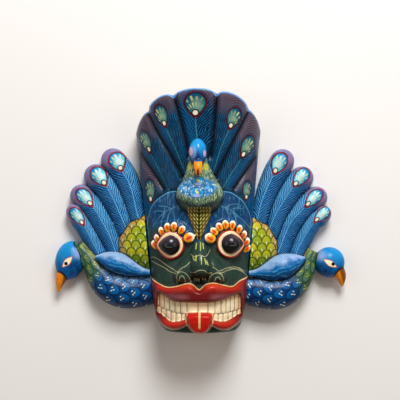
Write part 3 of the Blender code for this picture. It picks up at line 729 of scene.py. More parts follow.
def eyes():
    """Each eye is a ball with a raised lid and a domed pupil, these two drawn out to a corner."""
    made = []
    for x, y in EYES:
        side = math.copysign(1, x)
        made.append(ellipsoid((x, y, EYE_LEVEL), (EYE_RADIUS, EYE_RADIUS, EYE_RADIUS)))
        pupil = ellipsoid((x, y, PUPIL_LEVEL), (PUPIL_RADIUS, PUPIL_RADIUS, PUPIL_HEIGHT))
        made.append(pointed(pupil, (x, y), side))
        turns = [math.tau * step / 16 for step in range(18)]
        around = [(LID_RADIUS * math.cos(turn), LID_RADIUS * math.sin(turn)) for turn in turns]
        lid = [(x + across, y + up, LID_LEVEL - LID_TILT * side * across) for across, up in around]
        made.append(pointed(rod(lid, [LID_THICKNESS] * len(lid)), (x, y), side))
    return made


def forehead_bird():
    return [ellipsoid(*CHEST), rod(*NECK), ellipsoid(*BIRD_HEAD), rod(*BIRD_BEAK)]


def nose():
    tip, tip_radius = NOSE_BRIDGE[0][-1], NOSE_BRIDGE[1][-1]
    made = [ellipsoid(*NOSE_BASE), rod(*NOSE_BRIDGE), ellipsoid(tip, (tip_radius, tip_radius, tip_radius))]
    for points, radii in NOSE_WINGS:
        made += [rod(points, radii), ellipsoid(points[-1], (radii[-1], radii[-1] * 0.8, radii[-1]))]
    return made


def feather_forms(feather):
    """A side feather's rows, the ball at its tip, and its spine's points and radii."""
    first, *rest = feather
    rows = [first, *((x, y, half + FEATHER_SPREAD) for x, y, half in rest)]
    points, radii = levelled(rows, [FEATHER_TOP - half for *_, half in rows])
    return rows, (points[0], (radii[0],) * 3), (points, radii)


def bird_bands(side):
    """The points and radii of a side bird's body and of its wing."""
    body_levels = [BODY_LEVEL] * len(BODIES[side])
    return {"body": levelled(BODIES[side], body_levels), "wing": levelled(WINGS[side], WING_LEVELS)}


def peacock_shapes(side):
    """One side bird's forms: tail feathers, rump, body, wing, head, beak and backing."""
    shapes = []
    for feather in FEATHERS[side]:
        rows, tip, spine = feather_forms(feather)
        shapes += [rod(*spine), ellipsoid(*tip), plate(ribbon(rows), BELOW, FEATHER_BOARD_TOP)]
    body, wing = bird_bands(side).values()
    shapes += [ellipsoid(*RUMPS[side]), rod(*body), rod(*wing)]
    centre, radii, turn = HEADS[side]
    shapes += [ellipsoid(centre, radii, math.copysign(turn, centre[0])), rod(*BEAKS[side])]
    backing = [rows[-3][:2] for rows in FEATHERS[side]] + [row[:2] for row in BODIES[side][2:]]
    if side == "left":
        backing.reverse()
    shapes.append(plate(np.array(backing), BELOW, BACKING_TOP))
    return shapes


def ball_gap(places, centre, radii, turn=0.0):
    """How far each place is outside a stretched ball, negative inside it."""
    turned = np.array(Matrix.Rotation(math.radians(turn), 3, "Z"))
    offset = (places - np.array(centre)) @ turned
    reach = np.linalg.norm(offset / np.array(radii), axis=1)
    return np.linalg.norm(offset, axis=1) * (1 - 1 / np.maximum(reach, 1e-6))


def rod_gap(places, points, radii):
    """How far each place is outside a rod of changing thickness."""
    rows = smooth_line([(*point, radius) for point, radius in zip(points, radii)], steps=4)
    least = np.full(len(places), np.inf)
    for a, b in zip(rows, rows[1:]):
        along = (b - a)[:3]
        t = np.clip((places - a[:3]) @ along / (along @ along), 0, 1)
        away = np.linalg.norm(places - a[:3] - t[:, None] * along, axis=1)
        least = np.minimum(least, away - a[3] - t * (b[3] - a[3]))
    return least


def hollowness(mesh, rounds):
    """How deep each vertex lies in a groove, in millimetres; negative on a ridge."""
    places = places_of(mesh)
    normals = np.empty(len(places) * 3)
    mesh.vertices.foreach_get("normal", normals)
    ends = np.empty(len(mesh.edges) * 2, int)
    mesh.edges.foreach_get("vertices", ends)
    first, second = ends.reshape(-1, 2).T
    count = np.bincount(first, minlength=len(places)) + np.bincount(second, minlength=len(places))
    spread = places.copy()
    for _ in range(rounds):
        total = np.zeros_like(spread)
        for axis in range(3):
            total[:, axis] = np.bincount(first, spread[second, axis], len(places))
            total[:, axis] += np.bincount(second, spread[first, axis], len(places))
        spread = (spread + total / np.maximum(count, 1)[:, None]) / 2
    return np.sum((spread - places) * normals.reshape(-1, 3), axis=1)


def keep_field(mesh, name, values):
    """Stores one number for each vertex, for a material to read."""
    field = mesh.attributes.new(name, "FLOAT", "POINT")
    field.data.foreach_set("value", np.asarray(values, np.float32))


def keep_vector(mesh, name, rows):
    """Stores a pair of numbers for each vertex, for a material to read."""
    field = mesh.attributes.new(name, "FLOAT_VECTOR", "POINT")
    padded = np.column_stack([rows, np.zeros(len(rows))])
    field.data.foreach_set("vector", padded.astype(np.float32).ravel())


def keep_lines(mesh, name, lines, xy):
    """Stores each vertex's signed distance across the nearest brush line, and its distance in all."""
    across, reach = np.full(len(xy), FAR), np.full(len(xy), FAR)
    for points in lines:
        line = smooth_line(points) if len(points) > 2 else np.array(points, float)
        for a, b in zip(line, line[1:]):
            way = b - a
            offset = xy - a
            t = np.clip((offset @ way) / (way @ way), 0, 1)
            miss = np.hypot(*(offset - t[:, None] * way).T)
            closer = miss < reach
            side = np.where(way[0] * offset[:, 1] > way[1] * offset[:, 0], 1, -1)
            across, reach = np.where(closer, side * miss, across), np.where(closer, miss, reach)
    keep_field(mesh, name + "_across", across)
    keep_field(mesh, name + "_reach", reach)


def keep_layers(mesh, gaps):
    """Stores how far each form lies over all others at each vertex, and how near a border is."""
    stacked = np.array(list(gaps.values()))
    order = np.sort(stacked, axis=0)
    for (name, gap) in gaps.items():
        others = np.where(gap == order[0], order[1], order[0])
        keep_field(mesh, name + "_edge", others - gap)
    keep_field(mesh, "seam", order[1] - order[0])


def face_middles(mesh):
    middles = np.empty(len(mesh.polygons) * 3)
    mesh.polygons.foreach_get("center", middles)
    return middles.reshape(-1, 3)


def lay_pattern(mesh, charts, chosen):
    """Gives each face the pattern places of the chart chosen for it, as a UV map."""
    layer = mesh.uv_layers.new(name="pattern")
    corners, totals = np.empty(len(mesh.loops), int), np.empty(len(mesh.polygons), int)
    mesh.loops.foreach_get("vertex_index", corners)
    mesh.polygons.foreach_get("loop_total", totals)
    face_of_corner = np.repeat(np.arange(len(totals)), totals)
    places = np.array(charts)[chosen[face_of_corner], corners]
    layer.data.foreach_set("uv", places.astype(np.float32).ravel())


def groove_x(points, y):
    """The x of a crown groove at height y, counted on straight past its ends."""
    line = smooth_line(points)[::-1, :2]
    x = np.interp(y, line[:, 1], line[:, 0])
    for end, inner in ((0, 4), (-1, -5)):
        slope = (line[end, 0] - line[inner, 0]) / (line[end, 1] - line[inner, 1])
        past = y < line[0, 1] if end == 0 else y > line[-1, 1]
        x = np.where(past, line[end, 0] + (y - line[end, 1]) * slope, x)
    return x


def tooth_lines():
    """The dark lines between the teeth."""
    lines = [[(x, -96), (x, bite_at(x))] for x in UPPER_TOOTH_GAPS]
    lines += [[(x, bite_at(x)), (x, -138)] for x in LOWER_TOOTH_GAPS]
    return [*lines, BITE_LINE]


def petal_chart(places):
    """How far each vertex is outside its nearest petal, its place on it, and how near the next is."""
    gaps, rows = [], []
    for centre, size, turn in petal_places():
        gaps.append(ball_gap(places, centre, size, turn))
        way = np.array([math.cos(math.radians(turn)), math.sin(math.radians(turn))])
        offset = places[:, :2] - np.array(centre)[:2]
        rows.append(
            np.column_stack([offset @ way / size[0], (offset @ np.array([-way[1], way[0]])) / size[1]])
        )
    order = np.sort(gaps, axis=0)
    chart = np.array(rows)[np.argmin(gaps, axis=0), np.arange(len(places))]
    return order[0], chart, order[1] - order[0]


def block_gaps(places):
    """How far each vertex is outside the block's skin, its eyes and its bird."""
    xy = places[:, :2]
    skin = [
        0.7 * (places[:, 2] - carved_front(xy)), ball_gap(places, *NOSE_BASE), rod_gap(places, *NOSE_BRIDGE)
    ]
    for points, radii in NOSE_WINGS:
        skin += [rod_gap(places, points, radii), ball_gap(places, points[-1], (radii[-1],) * 3)]
    eye = []
    for x, y in EYES:
        eye.append(ball_gap(places, (x, y, EYE_LEVEL), (EYE_RADIUS,) * 3))
        lid_level = (
            LID_LEVEL
            - LID_TILT * math.copysign(1, x) * np.clip(xy[:, 0] - x, -LID_RADIUS, LID_RADIUS)
        )
        eye.append(np.hypot(eye_rounds(xy, (x, y)) - LID_RADIUS, places[:, 2] - lid_level) - LID_THICKNESS)
        eye.append(ball_gap(places, (x, y, PUPIL_LEVEL), (PUPIL_RADIUS, PUPIL_RADIUS, PUPIL_HEIGHT)))
    bird = [ball_gap(places, *CHEST), rod_gap(places, *NECK)]
    gaps = {"skin": np.minimum.reduce(skin), "eye": np.minimum.reduce(eye), "bird": np.minimum.reduce(bird)}
    gaps["head"] = ball_gap(places, *BIRD_HEAD)
    gaps["beak"] = rod_gap(places, *BIRD_BEAK)
    return gaps


def measure_block(mesh):
    """Works out all that the block's paint follows: borders, brush lines, grooves and feathers."""
    places = places_of(mesh)
    xy = places[:, :2]
    gaps = block_gaps(places)
    gaps["petal"], chart, between = petal_chart(places)
    keep_layers(mesh, gaps)
    keep_vector(mesh, "petal_chart", chart)
    keep_field(mesh, "petal_seam", between)
    teeth, lips, tongue = mouth_pads(xy)
    mouth = (UPPER_LIP, TEETH, *LOWER_LIPS, TONGUE)
    for name, values in (
        ("groove", hollowness(mesh, GROOVE_ROUNDS)),
        ("eye_round", np.minimum.reduce([eye_rounds(xy, eye) for eye in EYES])),
        ("lip_lead", lips - np.maximum(teeth, tongue)),
        ("tongue_lead", tongue - np.maximum(teeth, lips)),
        ("mouth_edge", np.maximum.reduce([depth_within(pad, xy) for pad in mouth])),
        ("forehead_edge", depth_within(FOREHEAD_OUTLINE, xy)),
        ("tail_edge", depth_within(BIRD_TAIL, xy)),
        ("rim", distance_to(block_outline(), xy, closed=True)),
    ):
        keep_field(mesh, name, values)
    for name, lines in (
        ("cream", CREAM_LINES),
        ("dab", NOSE_DABS),
        ("sky", SKY_LINES),
        ("tooth", tooth_lines()),
        ("lip_rim", lip_rims()),
        ("furrow", CROWN_GROOVES),
    ):
        keep_lines(mesh, name, lines, xy)
    middles = face_middles(mesh)
    feather = np.sum([middles[:, 0] > groove_x(line, middles[:, 1]) for line in CROWN_GROOVES], axis=0)
    lay_pattern(mesh, [feather_chart(line, xy) for line in CROWN_FEATHERS], feather)


def lip_rims():
    """The edges lined in cream: over the upper lip, under the lower lips and round the tongue."""
    return [UPPER_LIP[:13], *[lip[:6] for lip in LOWER_LIPS], TONGUE]


def band_chart(rows, xy, outward):
    """Pattern places for a band of rows: across in half widths, along in millimetres."""
    along, across, starts = along_and_across([row[:2] for row in rows], xy)
    halves = smooth_line([(row[2],) for row in rows])[:, 0]
    return np.column_stack([outward * across / np.interp(along, starts, halves), along])


def peacock_gaps(side, places):
    """How far each vertex is outside each form of a side bird, its feathers each on their own."""
    feathers = []
    for feather in FEATHERS[side]:
        _, tip, spine = feather_forms(feather)
        feathers.append(np.minimum(rod_gap(places, *spine), ball_gap(places, *tip)))
    gaps = {"rump": ball_gap(places, *RUMPS[side])}
    for name, band in bird_bands(side).items():
        gaps[name] = rod_gap(places, *band)
    centre, radii, turn = HEADS[side]
    gaps["head"] = ball_gap(places, centre, radii, math.copysign(turn, centre[0]))
    gaps["beak"] = rod_gap(places, *BEAKS[side])
    return feathers, gaps


def measure_peacock(mesh, side):
    """Works out all that a side bird's paint follows."""
    places = places_of(mesh)
    xy = places[:, :2]
    feathers, others = peacock_gaps(side, places)
    numbered = {f"feather_{number}": gap for number, gap in enumerate(feathers)}
    keep_layers(mesh, {**numbered, **others})
    for number in range(len(feathers)):
        mesh.attributes.remove(mesh.attributes[f"feather_{number}_edge"])
    keep_field(mesh, "groove", hollowness(mesh, GROOVE_ROUNDS))
    outward = 1 if side == "left" else -1
    keep_vector(mesh, "body_chart", band_chart(BODIES[side], xy, outward))
    keep_vector(mesh, "wing_chart", band_chart(WINGS[side], xy, outward))
    keep_vector(mesh, "rump_chart", (xy - np.array(RUMPS[side][0])[:2]) * (outward, 1))
    middles = face_middles(mesh)
    chosen = np.argmin(peacock_gaps(side, middles)[0], axis=0)
    lay_pattern(mesh, [feather_chart(line, xy) for line in FEATHER_LINES[side]], chosen)


def hollowed(mesh):
    """The block with its back scooped out."""
    block, cutter = object_of(mesh), hollow_cutter()
    cut = block.modifiers.new("hollow", "BOOLEAN")
    cut.operation = "DIFFERENCE"
    cut.solver = "MANIFOLD"
    cut.object = cutter
    result = settled(block)
    bpy.data.objects.remove(cutter)
    return result


def petals():
    return [ellipsoid(*petal) for petal in petal_places()]


def block_mesh(skin, passes):
    """The face, forehead bird and crown in one, cut flat at the back and sides and hollowed."""
    mesh = carved([block_body(), *petals(), *eyes(), *forehead_bird(), *nose()], skin, passes)
    mesh = cut_flat(mesh, Vector((0, 0, 0)), Vector((0, 0, -1)))
    for saw_cut in (LEFT_SIDE, RIGHT_SIDE):
        mesh = cut_flat(mesh, *side_plane(saw_cut, 0.0))
    return hollowed(mesh)


def peacock_mesh(side, skin, passes):
    """One side bird, cut flat at the back and where it meets the block."""
    mesh = carved(peacock_shapes(side), skin, passes)
    mesh = cut_flat(mesh, Vector((0, 0, 0)), Vector((0, 0, -1)))
    point, outward = side_plane(LEFT_SIDE if side == "left" else RIGHT_SIDE, SEAM_GAP)
    return cut_flat(mesh, point, -outward)


class Value:
    """A node's output, with which sums can be written as with numbers."""

    def __init__(self, nodes, socket):
        self.nodes, self.socket = nodes, socket

    def __add__(self, other):
        return self.nodes.math("ADD", self, other)

    def __radd__(self, other):
        return self.nodes.math("ADD", other, self)

    def __sub__(self, other):
        return self.nodes.math("SUBTRACT", self, other)

    def __rsub__(self, other):
        return self.nodes.math("SUBTRACT", other, self)

    def __mul__(self, other):
        return self.nodes.math("MULTIPLY", self, other)

    def __abs__(self):
        return self.nodes.math("ABSOLUTE", self)


class Wiring:
    """Adds shader nodes to a tree and joins them up."""

    def __init__(self, tree):
        self.tree = tree

    def add(self, kind, **settings):
        node = self.tree.nodes.new(kind if kind.startswith("Node") else "ShaderNode" + kind)
        for name, value in settings.items():
            setattr(node, name, value)
        return node

    def value(self, socket):
        return Value(self, socket)

    def feed(self, socket, value):
        if isinstance(value, Value):
            self.tree.links.new(value.socket, socket)
        elif socket.type == "RGBA":
            socket.default_value = (*value, 1)
        else:
            socket.default_value = value

    def math(self, operation, *values, clamp=False):
        node = self.add("Math", operation=operation, use_clamp=clamp)
        for socket, value in zip(node.inputs, values):
            self.feed(socket, value)
        return self.value(node.outputs[0])

    def either(self, *masks):
        """The stronger of some masks."""
        result = masks[0]
        for mask in masks[1:]:
            result = self.math("MAXIMUM", result, mask)
        return result

    def rise(self, value, low, high):
        """0 where the value is low and 1 where it is high, eased between them."""
        node = self.add("MapRange", interpolation_type="SMOOTHSTEP")
        backwards = low > high
        for name, number in (("Value", value), ("From Min", min(low, high)), ("From Max", max(low, high))):
            self.feed(node.inputs[name], number)
        self.feed(node.inputs["To Min"], 1.0 if backwards else 0.0)
        self.feed(node.inputs["To Max"], 0.0 if backwards else 1.0)
        return self.value(node.outputs["Result"])

    def mix(self, share, first, second, blend="MIX"):
        node = self.add("Mix", data_type="RGBA", blend_type=blend)
        self.feed(node.inputs[0], share)
        self.feed(node.inputs[6], first)
        self.feed(node.inputs[7], second)
        return self.value(node.outputs[2])

    def layered(self, ground, *layers):
        """A colour with others painted over it, each given with its mask."""
        for mask, colour in layers:
            ground = self.mix(mask, ground, colour)
        return ground

    def field(self, name):
        """A number that was stored for each vertex."""
        return self.value(self.add("Attribute", attribute_name=name).outputs["Fac"])

    def pair(self, name):
        """Two numbers that were stored for each vertex."""
        stored = self.add("Attribute", attribute_name=name).outputs["Vector"]
        return self.apart(self.value(stored))[:2]

    def place(self):
        """The place on the object in millimetres, from the same middle as the sizes above."""
        node = self.add("VectorMath", operation="MULTIPLY_ADD")
        self.feed(node.inputs[0], self.value(self.add("TexCoord").outputs["Object"]))
        self.feed(node.inputs[1], (1 / MM, 1 / MM, 1 / MM))
        self.feed(node.inputs[2], tuple(-value for value in CENTRING))
        return self.value(node.outputs[0])

    def place_y(self):
        return self.apart(self.place())[1]

    def apart(self, vector):
        parts = self.add("SeparateXYZ")
        self.feed(parts.inputs[0], vector)
        return [self.value(part) for part in parts.outputs]

    def noise(self, fineness, detail=2.0, stretch=(1, 1, 1)):
        """Cloudy values around a half, over the object's place."""
        stretched = self.add("VectorMath", operation="MULTIPLY")
        self.feed(stretched.inputs[0], self.place())
        self.feed(stretched.inputs[1], stretch)
        node = self.add("TexNoise")
        self.feed(node.inputs["Vector"], self.value(stretched.outputs[0]))
        self.feed(node.inputs["Scale"], fineness)
        self.feed(node.inputs["Detail"], detail)
        return self.value(node.outputs["Fac"])

    def turned(self, x, y, centre, degrees):
        """Places counted from a centre, along and across a direction."""
        dx, dy = x - centre[0], y - centre[1]
        cos, sin = math.cos(math.radians(degrees)), math.sin(math.radians(degrees))
        return (
            dx * cos + dy * sin,
            dy * cos - dx * sin,
        )

    def oval(self, x, y, centre, radii, degrees=0.0):
        """How far a place is from the middle of an oval, 1 being its edge."""
        along, across = self.turned(x, y, centre, degrees)
        first, second = along * (1 / radii[0]), across * (1 / radii[1])
        return self.math("SQRT", first * first + second * second)

    def use(self, group, **values):
        """A node group with its inputs given by name; returns its outputs."""
        node = self.add("Group", node_tree=bpy.data.node_groups[group])
        for name, value in values.items():
            self.feed(node.inputs[name], value)
        return {socket.name: self.value(socket) for socket in node.outputs}


def begun_group(name, inputs, outputs):
    """A new node group with its sockets, its nodes, its input sockets and its output node."""
    tree = bpy.data.node_groups.new(name, "ShaderNodeTree")
    for direction, sockets in (("INPUT", inputs), ("OUTPUT", outputs)):
        for label, kind in sockets.items():
            tree.interface.new_socket(label, in_out=direction, socket_type="NodeSocket" + kind)
    nodes = Wiring(tree)
    given = {socket.name: nodes.value(socket) for socket in nodes.add("NodeGroupInput").outputs}
    return nodes, given, nodes.add("NodeGroupOutput").inputs


def make_brush_line():
    """A line drawn with a fine brush, slightly uneven in width and strength."""
    nodes, given, out = begun_group(
        "brush_line", {"Across": "Float", "Reach": "Float", "Width": "Float"}, {"Mask": "Float"}
    )
    half = given["Width"] * (nodes.noise(0.22) * 0.6 + 0.2)
    miss = abs(given["Across"]) - half
    line = nodes.rise(miss, 0.25, -0.2) * nodes.rise(given["Reach"], 1.25, 0.8)
    fading = nodes.noise(0.12, 3.0) * 0.9 + 0.45
    nodes.feed(out["Mask"], nodes.math("MULTIPLY", line, fading, clamp=True))


def make_brush_and_shade():
    """Brush streaks, painted shade in the grooves, painted highlights on the ridges, and dark lines along the
    borders between forms, partly painted shade where the forms meet.
    """
    nodes, given, out = begun_group(
        "brush_and_shade",
        {"Colour": "Color", "Groove": "Float", "Seam": "Float"},
        {"Colour": "Color", "Roughness": "Float", "Height": "Float"},
    )
    fine, broad = nodes.noise(0.55, 4.0, (1, 0.45, 1)), nodes.noise(0.06, 2.0)
    tone = fine * 0.5 + broad * 0.4 + 0.55
    streaked = nodes.mix(1.0, given["Colour"], tone, "MULTIPLY")
    # Painted shade deep in the grooves and a painted highlight on the ridges, from how deep each place lies
    # in a groove.
    deep = nodes.rise(given["Groove"], 0.06, 0.75)
    ridge = nodes.rise(given["Groove"], -0.05, -0.6)
    shaded = nodes.mix(deep * 0.8, streaked, (0.002, 0.004, 0.007))
    lit = nodes.mix(ridge, shaded, nodes.mix(1.0, shaded, (1.25, 1.25, 1.25), "MULTIPLY"))
    # Dark lines along the borders between forms, partly painted shade where the forms meet.
    border = nodes.rise(given["Seam"], 1.25, 0.3)
    nodes.feed(out["Colour"], nodes.mix(border * 0.92, lit, (0.001, 0.003, 0.005)))
    nodes.feed(out["Roughness"], fine * 0.16 + 0.28)
    nodes.feed(out["Height"], fine * 0.6 + nodes.noise(0.18, 3.0) * 1.4)


def make_peacock_eye():
    """The eye spot of a peacock feather, pointed at its lower end, with a fan of fine strokes."""
    nodes, given, out = begun_group(
        "peacock_eye",
        {
            "Across": "Float",
            "Along": "Float",
            "Ring": "Color",
            "Fill": "Color",
            "Sky": "Color",
            "Pale": "Color",
            "Stroke": "Color",
        },
        {"Colour": "Color", "Mask": "Float", "Reach": "Float"},
    )
    across, along = given["Across"], given["Along"]
    upper = nodes.rise(along, 0.549, 0.551)
    slope = upper * (1 / 0.45 - 1 / 0.55) + 1 / 0.55
    rising = abs(along - 0.55) * slope
    power = upper * 0.7 + 1.35
    total = nodes.math("POWER", abs(across), power) + nodes.math("POWER", rising, power)
    reach = nodes.math("POWER", total, nodes.math("DIVIDE", 1.0, power))
    height = (along - 0.2) * 2.4
    fan = nodes.math("ARCTAN2", across, height)
    from_dot = nodes.math("SQRT", across * across + height * height)
    bent = fan * 3.1 + nodes.noise(0.15) * 0.5
    spoke = abs(nodes.math("FRACT", bent) - 0.5)
    row = nodes.math("FRACT", from_dot * 1.7 + nodes.noise(0.25) * 0.6)
    dash = nodes.rise(row, 0.1, 0.3) * nodes.rise(row, 0.95, 0.75)
    stroke = nodes.rise(spoke, 0.27, 0.1) * dash
    inner = nodes.rise(from_dot, 0.42, 0.55) * nodes.rise(reach, 0.8, 0.66)
    stroke = stroke * inner
    leaning = along - across * 0.45
    crescent = nodes.rise(reach, 0.3, 0.75) * nodes.rise(leaning, 0.35, 0.8)
    light = nodes.rise(nodes.oval(across, along, (0.15, 0.5), (0.6, 0.33)), 1.1, 0.2)
    outer = nodes.rise(across, 0.25, -0.15)
    worn = nodes.rise(nodes.noise(0.12), 0.35, 0.55) * 0.5 + 0.5
    colour = nodes.layered(
        given["Fill"],
        (light * 0.75, given["Pale"]),
        (crescent, given["Sky"]),
        (stroke * 0.85, nodes.mix(outer, given["Pale"], given["Stroke"])),
        (nodes.rise(from_dot, 0.35, 0.29), (0.004, 0.006, 0.01)),
        (nodes.rise(from_dot, 0.24, 0.18), (0.85, 0.75, 0.6)),
        (nodes.rise(reach, 0.8, 0.85), (0.006, 0.01, 0.02)),
        (nodes.rise(reach, 0.88, 0.91) * worn, given["Ring"]),
    )
    nodes.feed(out["Colour"], colour)
    nodes.feed(out["Mask"], nodes.rise(reach, 1.04, 0.98))
    nodes.feed(out["Reach"], reach)


def make_feather_barbs():
    """Fine slanting lines on both sides of a feather's shaft, and the shaft itself."""
    nodes, given, out = begun_group(
        "feather_barbs",
        {"Across": "Float", "Along": "Float"},
        {"Light": "Float", "Dark": "Float", "Shaft": "Float"},
    )
    across, along = given["Across"], given["Along"]
    wander = nodes.noise(0.09) * 0.3
    slant = along - abs(across) * 0.46 + wander
    step = nodes.math("FRACT", slant * 8.2)
    strong = nodes.rise(nodes.noise(0.16, 3.0), 0.3, 0.6)
    strong = strong * 0.6 + 0.4
    nodes.feed(out["Light"], nodes.rise(abs(step - 0.25), 0.24, 0.06) * strong)
    nodes.feed(out["Dark"], nodes.rise(abs(step - 0.74), 0.24, 0.08))
    bend = (nodes.noise(0.05) - 0.5) * 0.12
    line = nodes.rise(abs(across + bend), 0.06, 0.025)
    nodes.feed(out["Shaft"], line * nodes.rise(along, 0.02, -0.04))


def make_fish_scales():
    """Rows of overlapping rounded scales with dark outlines and a few bright dabs on each."""
    nodes, given, out = begun_group(
        "fish_scales",
        {"Across": "Float", "Along": "Float"},
        {"Outline": "Float", "Dabs": "Float", "Dab": "Float", "Tone": "Float", "Tip": "Float"},
    )
    row = nodes.math("FLOOR", given["Along"])
    up = given["Along"] - row
    shift = nodes.math("FLOORED_MODULO", row, 2.0) * 0.5
    side = nodes.math("FRACT", given["Across"] + shift) - 0.5
    doubled = side * 2.0
    reach = nodes.math("SQRT", doubled * doubled + up * up)
    behind = nodes.math("GREATER_THAN", reach, 1.0)
    half = nodes.math("SIGN", side) * 0.5 * behind
    local_side, local_up = side - half, up - behind
    own_row = row + behind
    own_shift = nodes.math("FLOORED_MODULO", own_row, 2.0) * 0.5
    column = given["Across"] + own_shift - local_side
    label = nodes.add("CombineXYZ")
    nodes.feed(label.inputs[0], nodes.math("ROUND", column * 2.0))
    nodes.feed(label.inputs[1], own_row)
    chance = nodes.add("TexWhiteNoise", noise_dimensions="3D")
    nodes.feed(chance.inputs["Vector"], nodes.value(label.outputs[0]))
    dabs = []
    for x, y, slant, length in (
        (-0.15, 0.2, 40, 0.085), (0.0, 0.33, 40, 0.09), (0.14, 0.14, 40, 0.08), (0, 0, 80, 0.21)
    ):
        along, across = nodes.turned(local_side, local_up * 0.85, (x, y), slant)
        first, second = along * (1 / length), across * (1 / 0.045)
        stroke = first * first + second * second
        dabs.append(nodes.rise(stroke, 1.4, 0.5))
    nodes.feed(out["Outline"], nodes.rise(abs(reach - 1.0), 0.14, 0.05))
    nodes.feed(out["Dabs"], nodes.either(*dabs[:3]))
    nodes.feed(out["Dab"], dabs[3])
    nodes.feed(out["Tone"], nodes.value(chance.outputs["Value"]))
    nodes.feed(out["Tip"], local_up)


def new_paint(name, gloss):
    """A varnished paint: its material, nodes and shader."""
    material = bpy.data.materials.new(name)
    material.use_nodes = True
    shader = material.node_tree.nodes["Principled BSDF"]
    shader.inputs["Specular IOR Level"].default_value = SPECULAR_LEVEL
    shader.inputs["Coat Weight"].default_value = gloss
    shader.inputs["Coat Roughness"].default_value = COAT_ROUGHNESS
    return material, Wiring(material.node_tree), shader


def roughened(nodes, shader, height, bumps):
    """A slight relief in the surface, given its strength and depth."""
    bump = nodes.add("Bump")
    for name, value in zip(("Height", "Strength", "Distance"), (height, *bumps)):
        nodes.feed(bump.inputs[name], value)
    nodes.feed(shader.inputs["Normal"], nodes.value(bump.outputs["Normal"]))


def apply_paint_and_shade(nodes, shader, colour, groove=None, seam=None):
    """Passes a colour through the brush streaks, the painted groove shade and ridge highlights, and into the
    shader.
    """
    groove = nodes.field("groove") if groove is None else groove
    seam = nodes.field("seam") if seam is None else seam
    painted = nodes.use("brush_and_shade", Colour=colour, Groove=groove, Seam=seam)
    nodes.feed(shader.inputs["Base Color"], painted["Colour"])
    nodes.feed(shader.inputs["Roughness"], painted["Roughness"])
    roughened(nodes, shader, painted["Height"], BRUSH_BUMP)


def drawn(nodes, name, width):
    """The mask of a family of brush lines."""
    across, reach = nodes.field(name + "_across"), nodes.field(name + "_reach")
    return nodes.use("brush_line", Across=across, Reach=reach, Width=width)["Mask"]


def on_form(nodes, name):
    """The mask of one form, with a crisp border."""
    return nodes.rise(nodes.field(name + "_edge"), -0.12, 0.12)


def pattern_places(nodes):
    """Where a place lies on its feather's chart."""
    across, along, _ = nodes.apart(nodes.value(nodes.add("UVMap", uv_map="pattern").outputs["UV"]))
    return across, along


def crown_colour(nodes, paints):
    """Navy feathers with a paler outer band, plum tips, eye spots and fine barbs, with painted shade along
    the grooves and a painted highlight on the top edge.
    """
    across, along = pattern_places(nodes)
    barbs = nodes.use("feather_barbs", Across=across, Along=along)
    spot = nodes.use(
        "peacock_eye",
        Across=across,
        Along=along,
        Ring=paints.crown_ring,
        Fill=paints.crown_spot,
        Sky=paints.crown_spot_sky,
        Pale=paints.crown_pale,
        Stroke=paints.yellow_stroke,
    )
    band = nodes.rise(across, 0.3, -0.9)
    tip = nodes.rise(along, 0.25, 1.0) * nodes.rise(spot["Reach"], 0.9, 1.3)
    contour = abs(nodes.math("FRACT", spot["Reach"] * 4.5) - 0.5)
    colour = nodes.layered(
        nodes.mix(band, paints.crown_navy, paints.crown_blue),
        (barbs["Light"] * 0.75, paints.crown_barb),
        (barbs["Dark"] * 0.65, (0.001, 0.004, 0.012)),
        (tip * 0.85, paints.crown_tip),
        (nodes.rise(contour, 0.3, 0.05) * tip * 0.2, paints.crown_rim_and_highlight),
        (barbs["Shaft"] * 0.6, paints.crown_shaft),
        (spot["Mask"], spot["Colour"]),
    )
    # Near-black at the bottoms of the grooves and darker beside them: painted shade in the grooves.
    furrow = nodes.field("furrow_reach")
    dark = nodes.either(nodes.rise(furrow, 1.8, 0.6), nodes.rise(furrow, 7.0, 0.5) * 0.6)
    # Light blue along the crown's outer edge, brightest at the top: a painted highlight on the rounded edge.
    edge = nodes.rise(nodes.field("rim"), 3.3, 1.7)
    high = nodes.rise(nodes.place_y(), 112, 130)
    return nodes.layered(
        colour,
        (dark, (0.001, 0.002, 0.006)),
        (edge * (high * 0.75 + 0.1), paints.crown_rim_and_highlight),
    )


def leaf_colour(nodes, paints, x, y):
    """The forehead bird's tail: an olive leaf with a dark midrib and slanting yellow dabs."""
    aside = abs(x - -0.3)
    slant = nodes.math("FRACT", (y - aside * 1.3) * 0.21)
    ribs = nodes.math("FRACT", aside * 0.27)
    dabs = nodes.rise(abs(slant - 0.5), 0.25, 0.1) * nodes.rise(abs(ribs - 0.55), 0.38, 0.2)
    return nodes.layered(
        paints.tail_olive,
        (nodes.rise(nodes.field("tail_edge"), 5.0, 1.0), paints.tail_gold),
        (dabs * 0.85, paints.yellow_stroke),
        (nodes.rise(aside, 1.6, 0.5), (0.004, 0.008, 0.004)),
    )


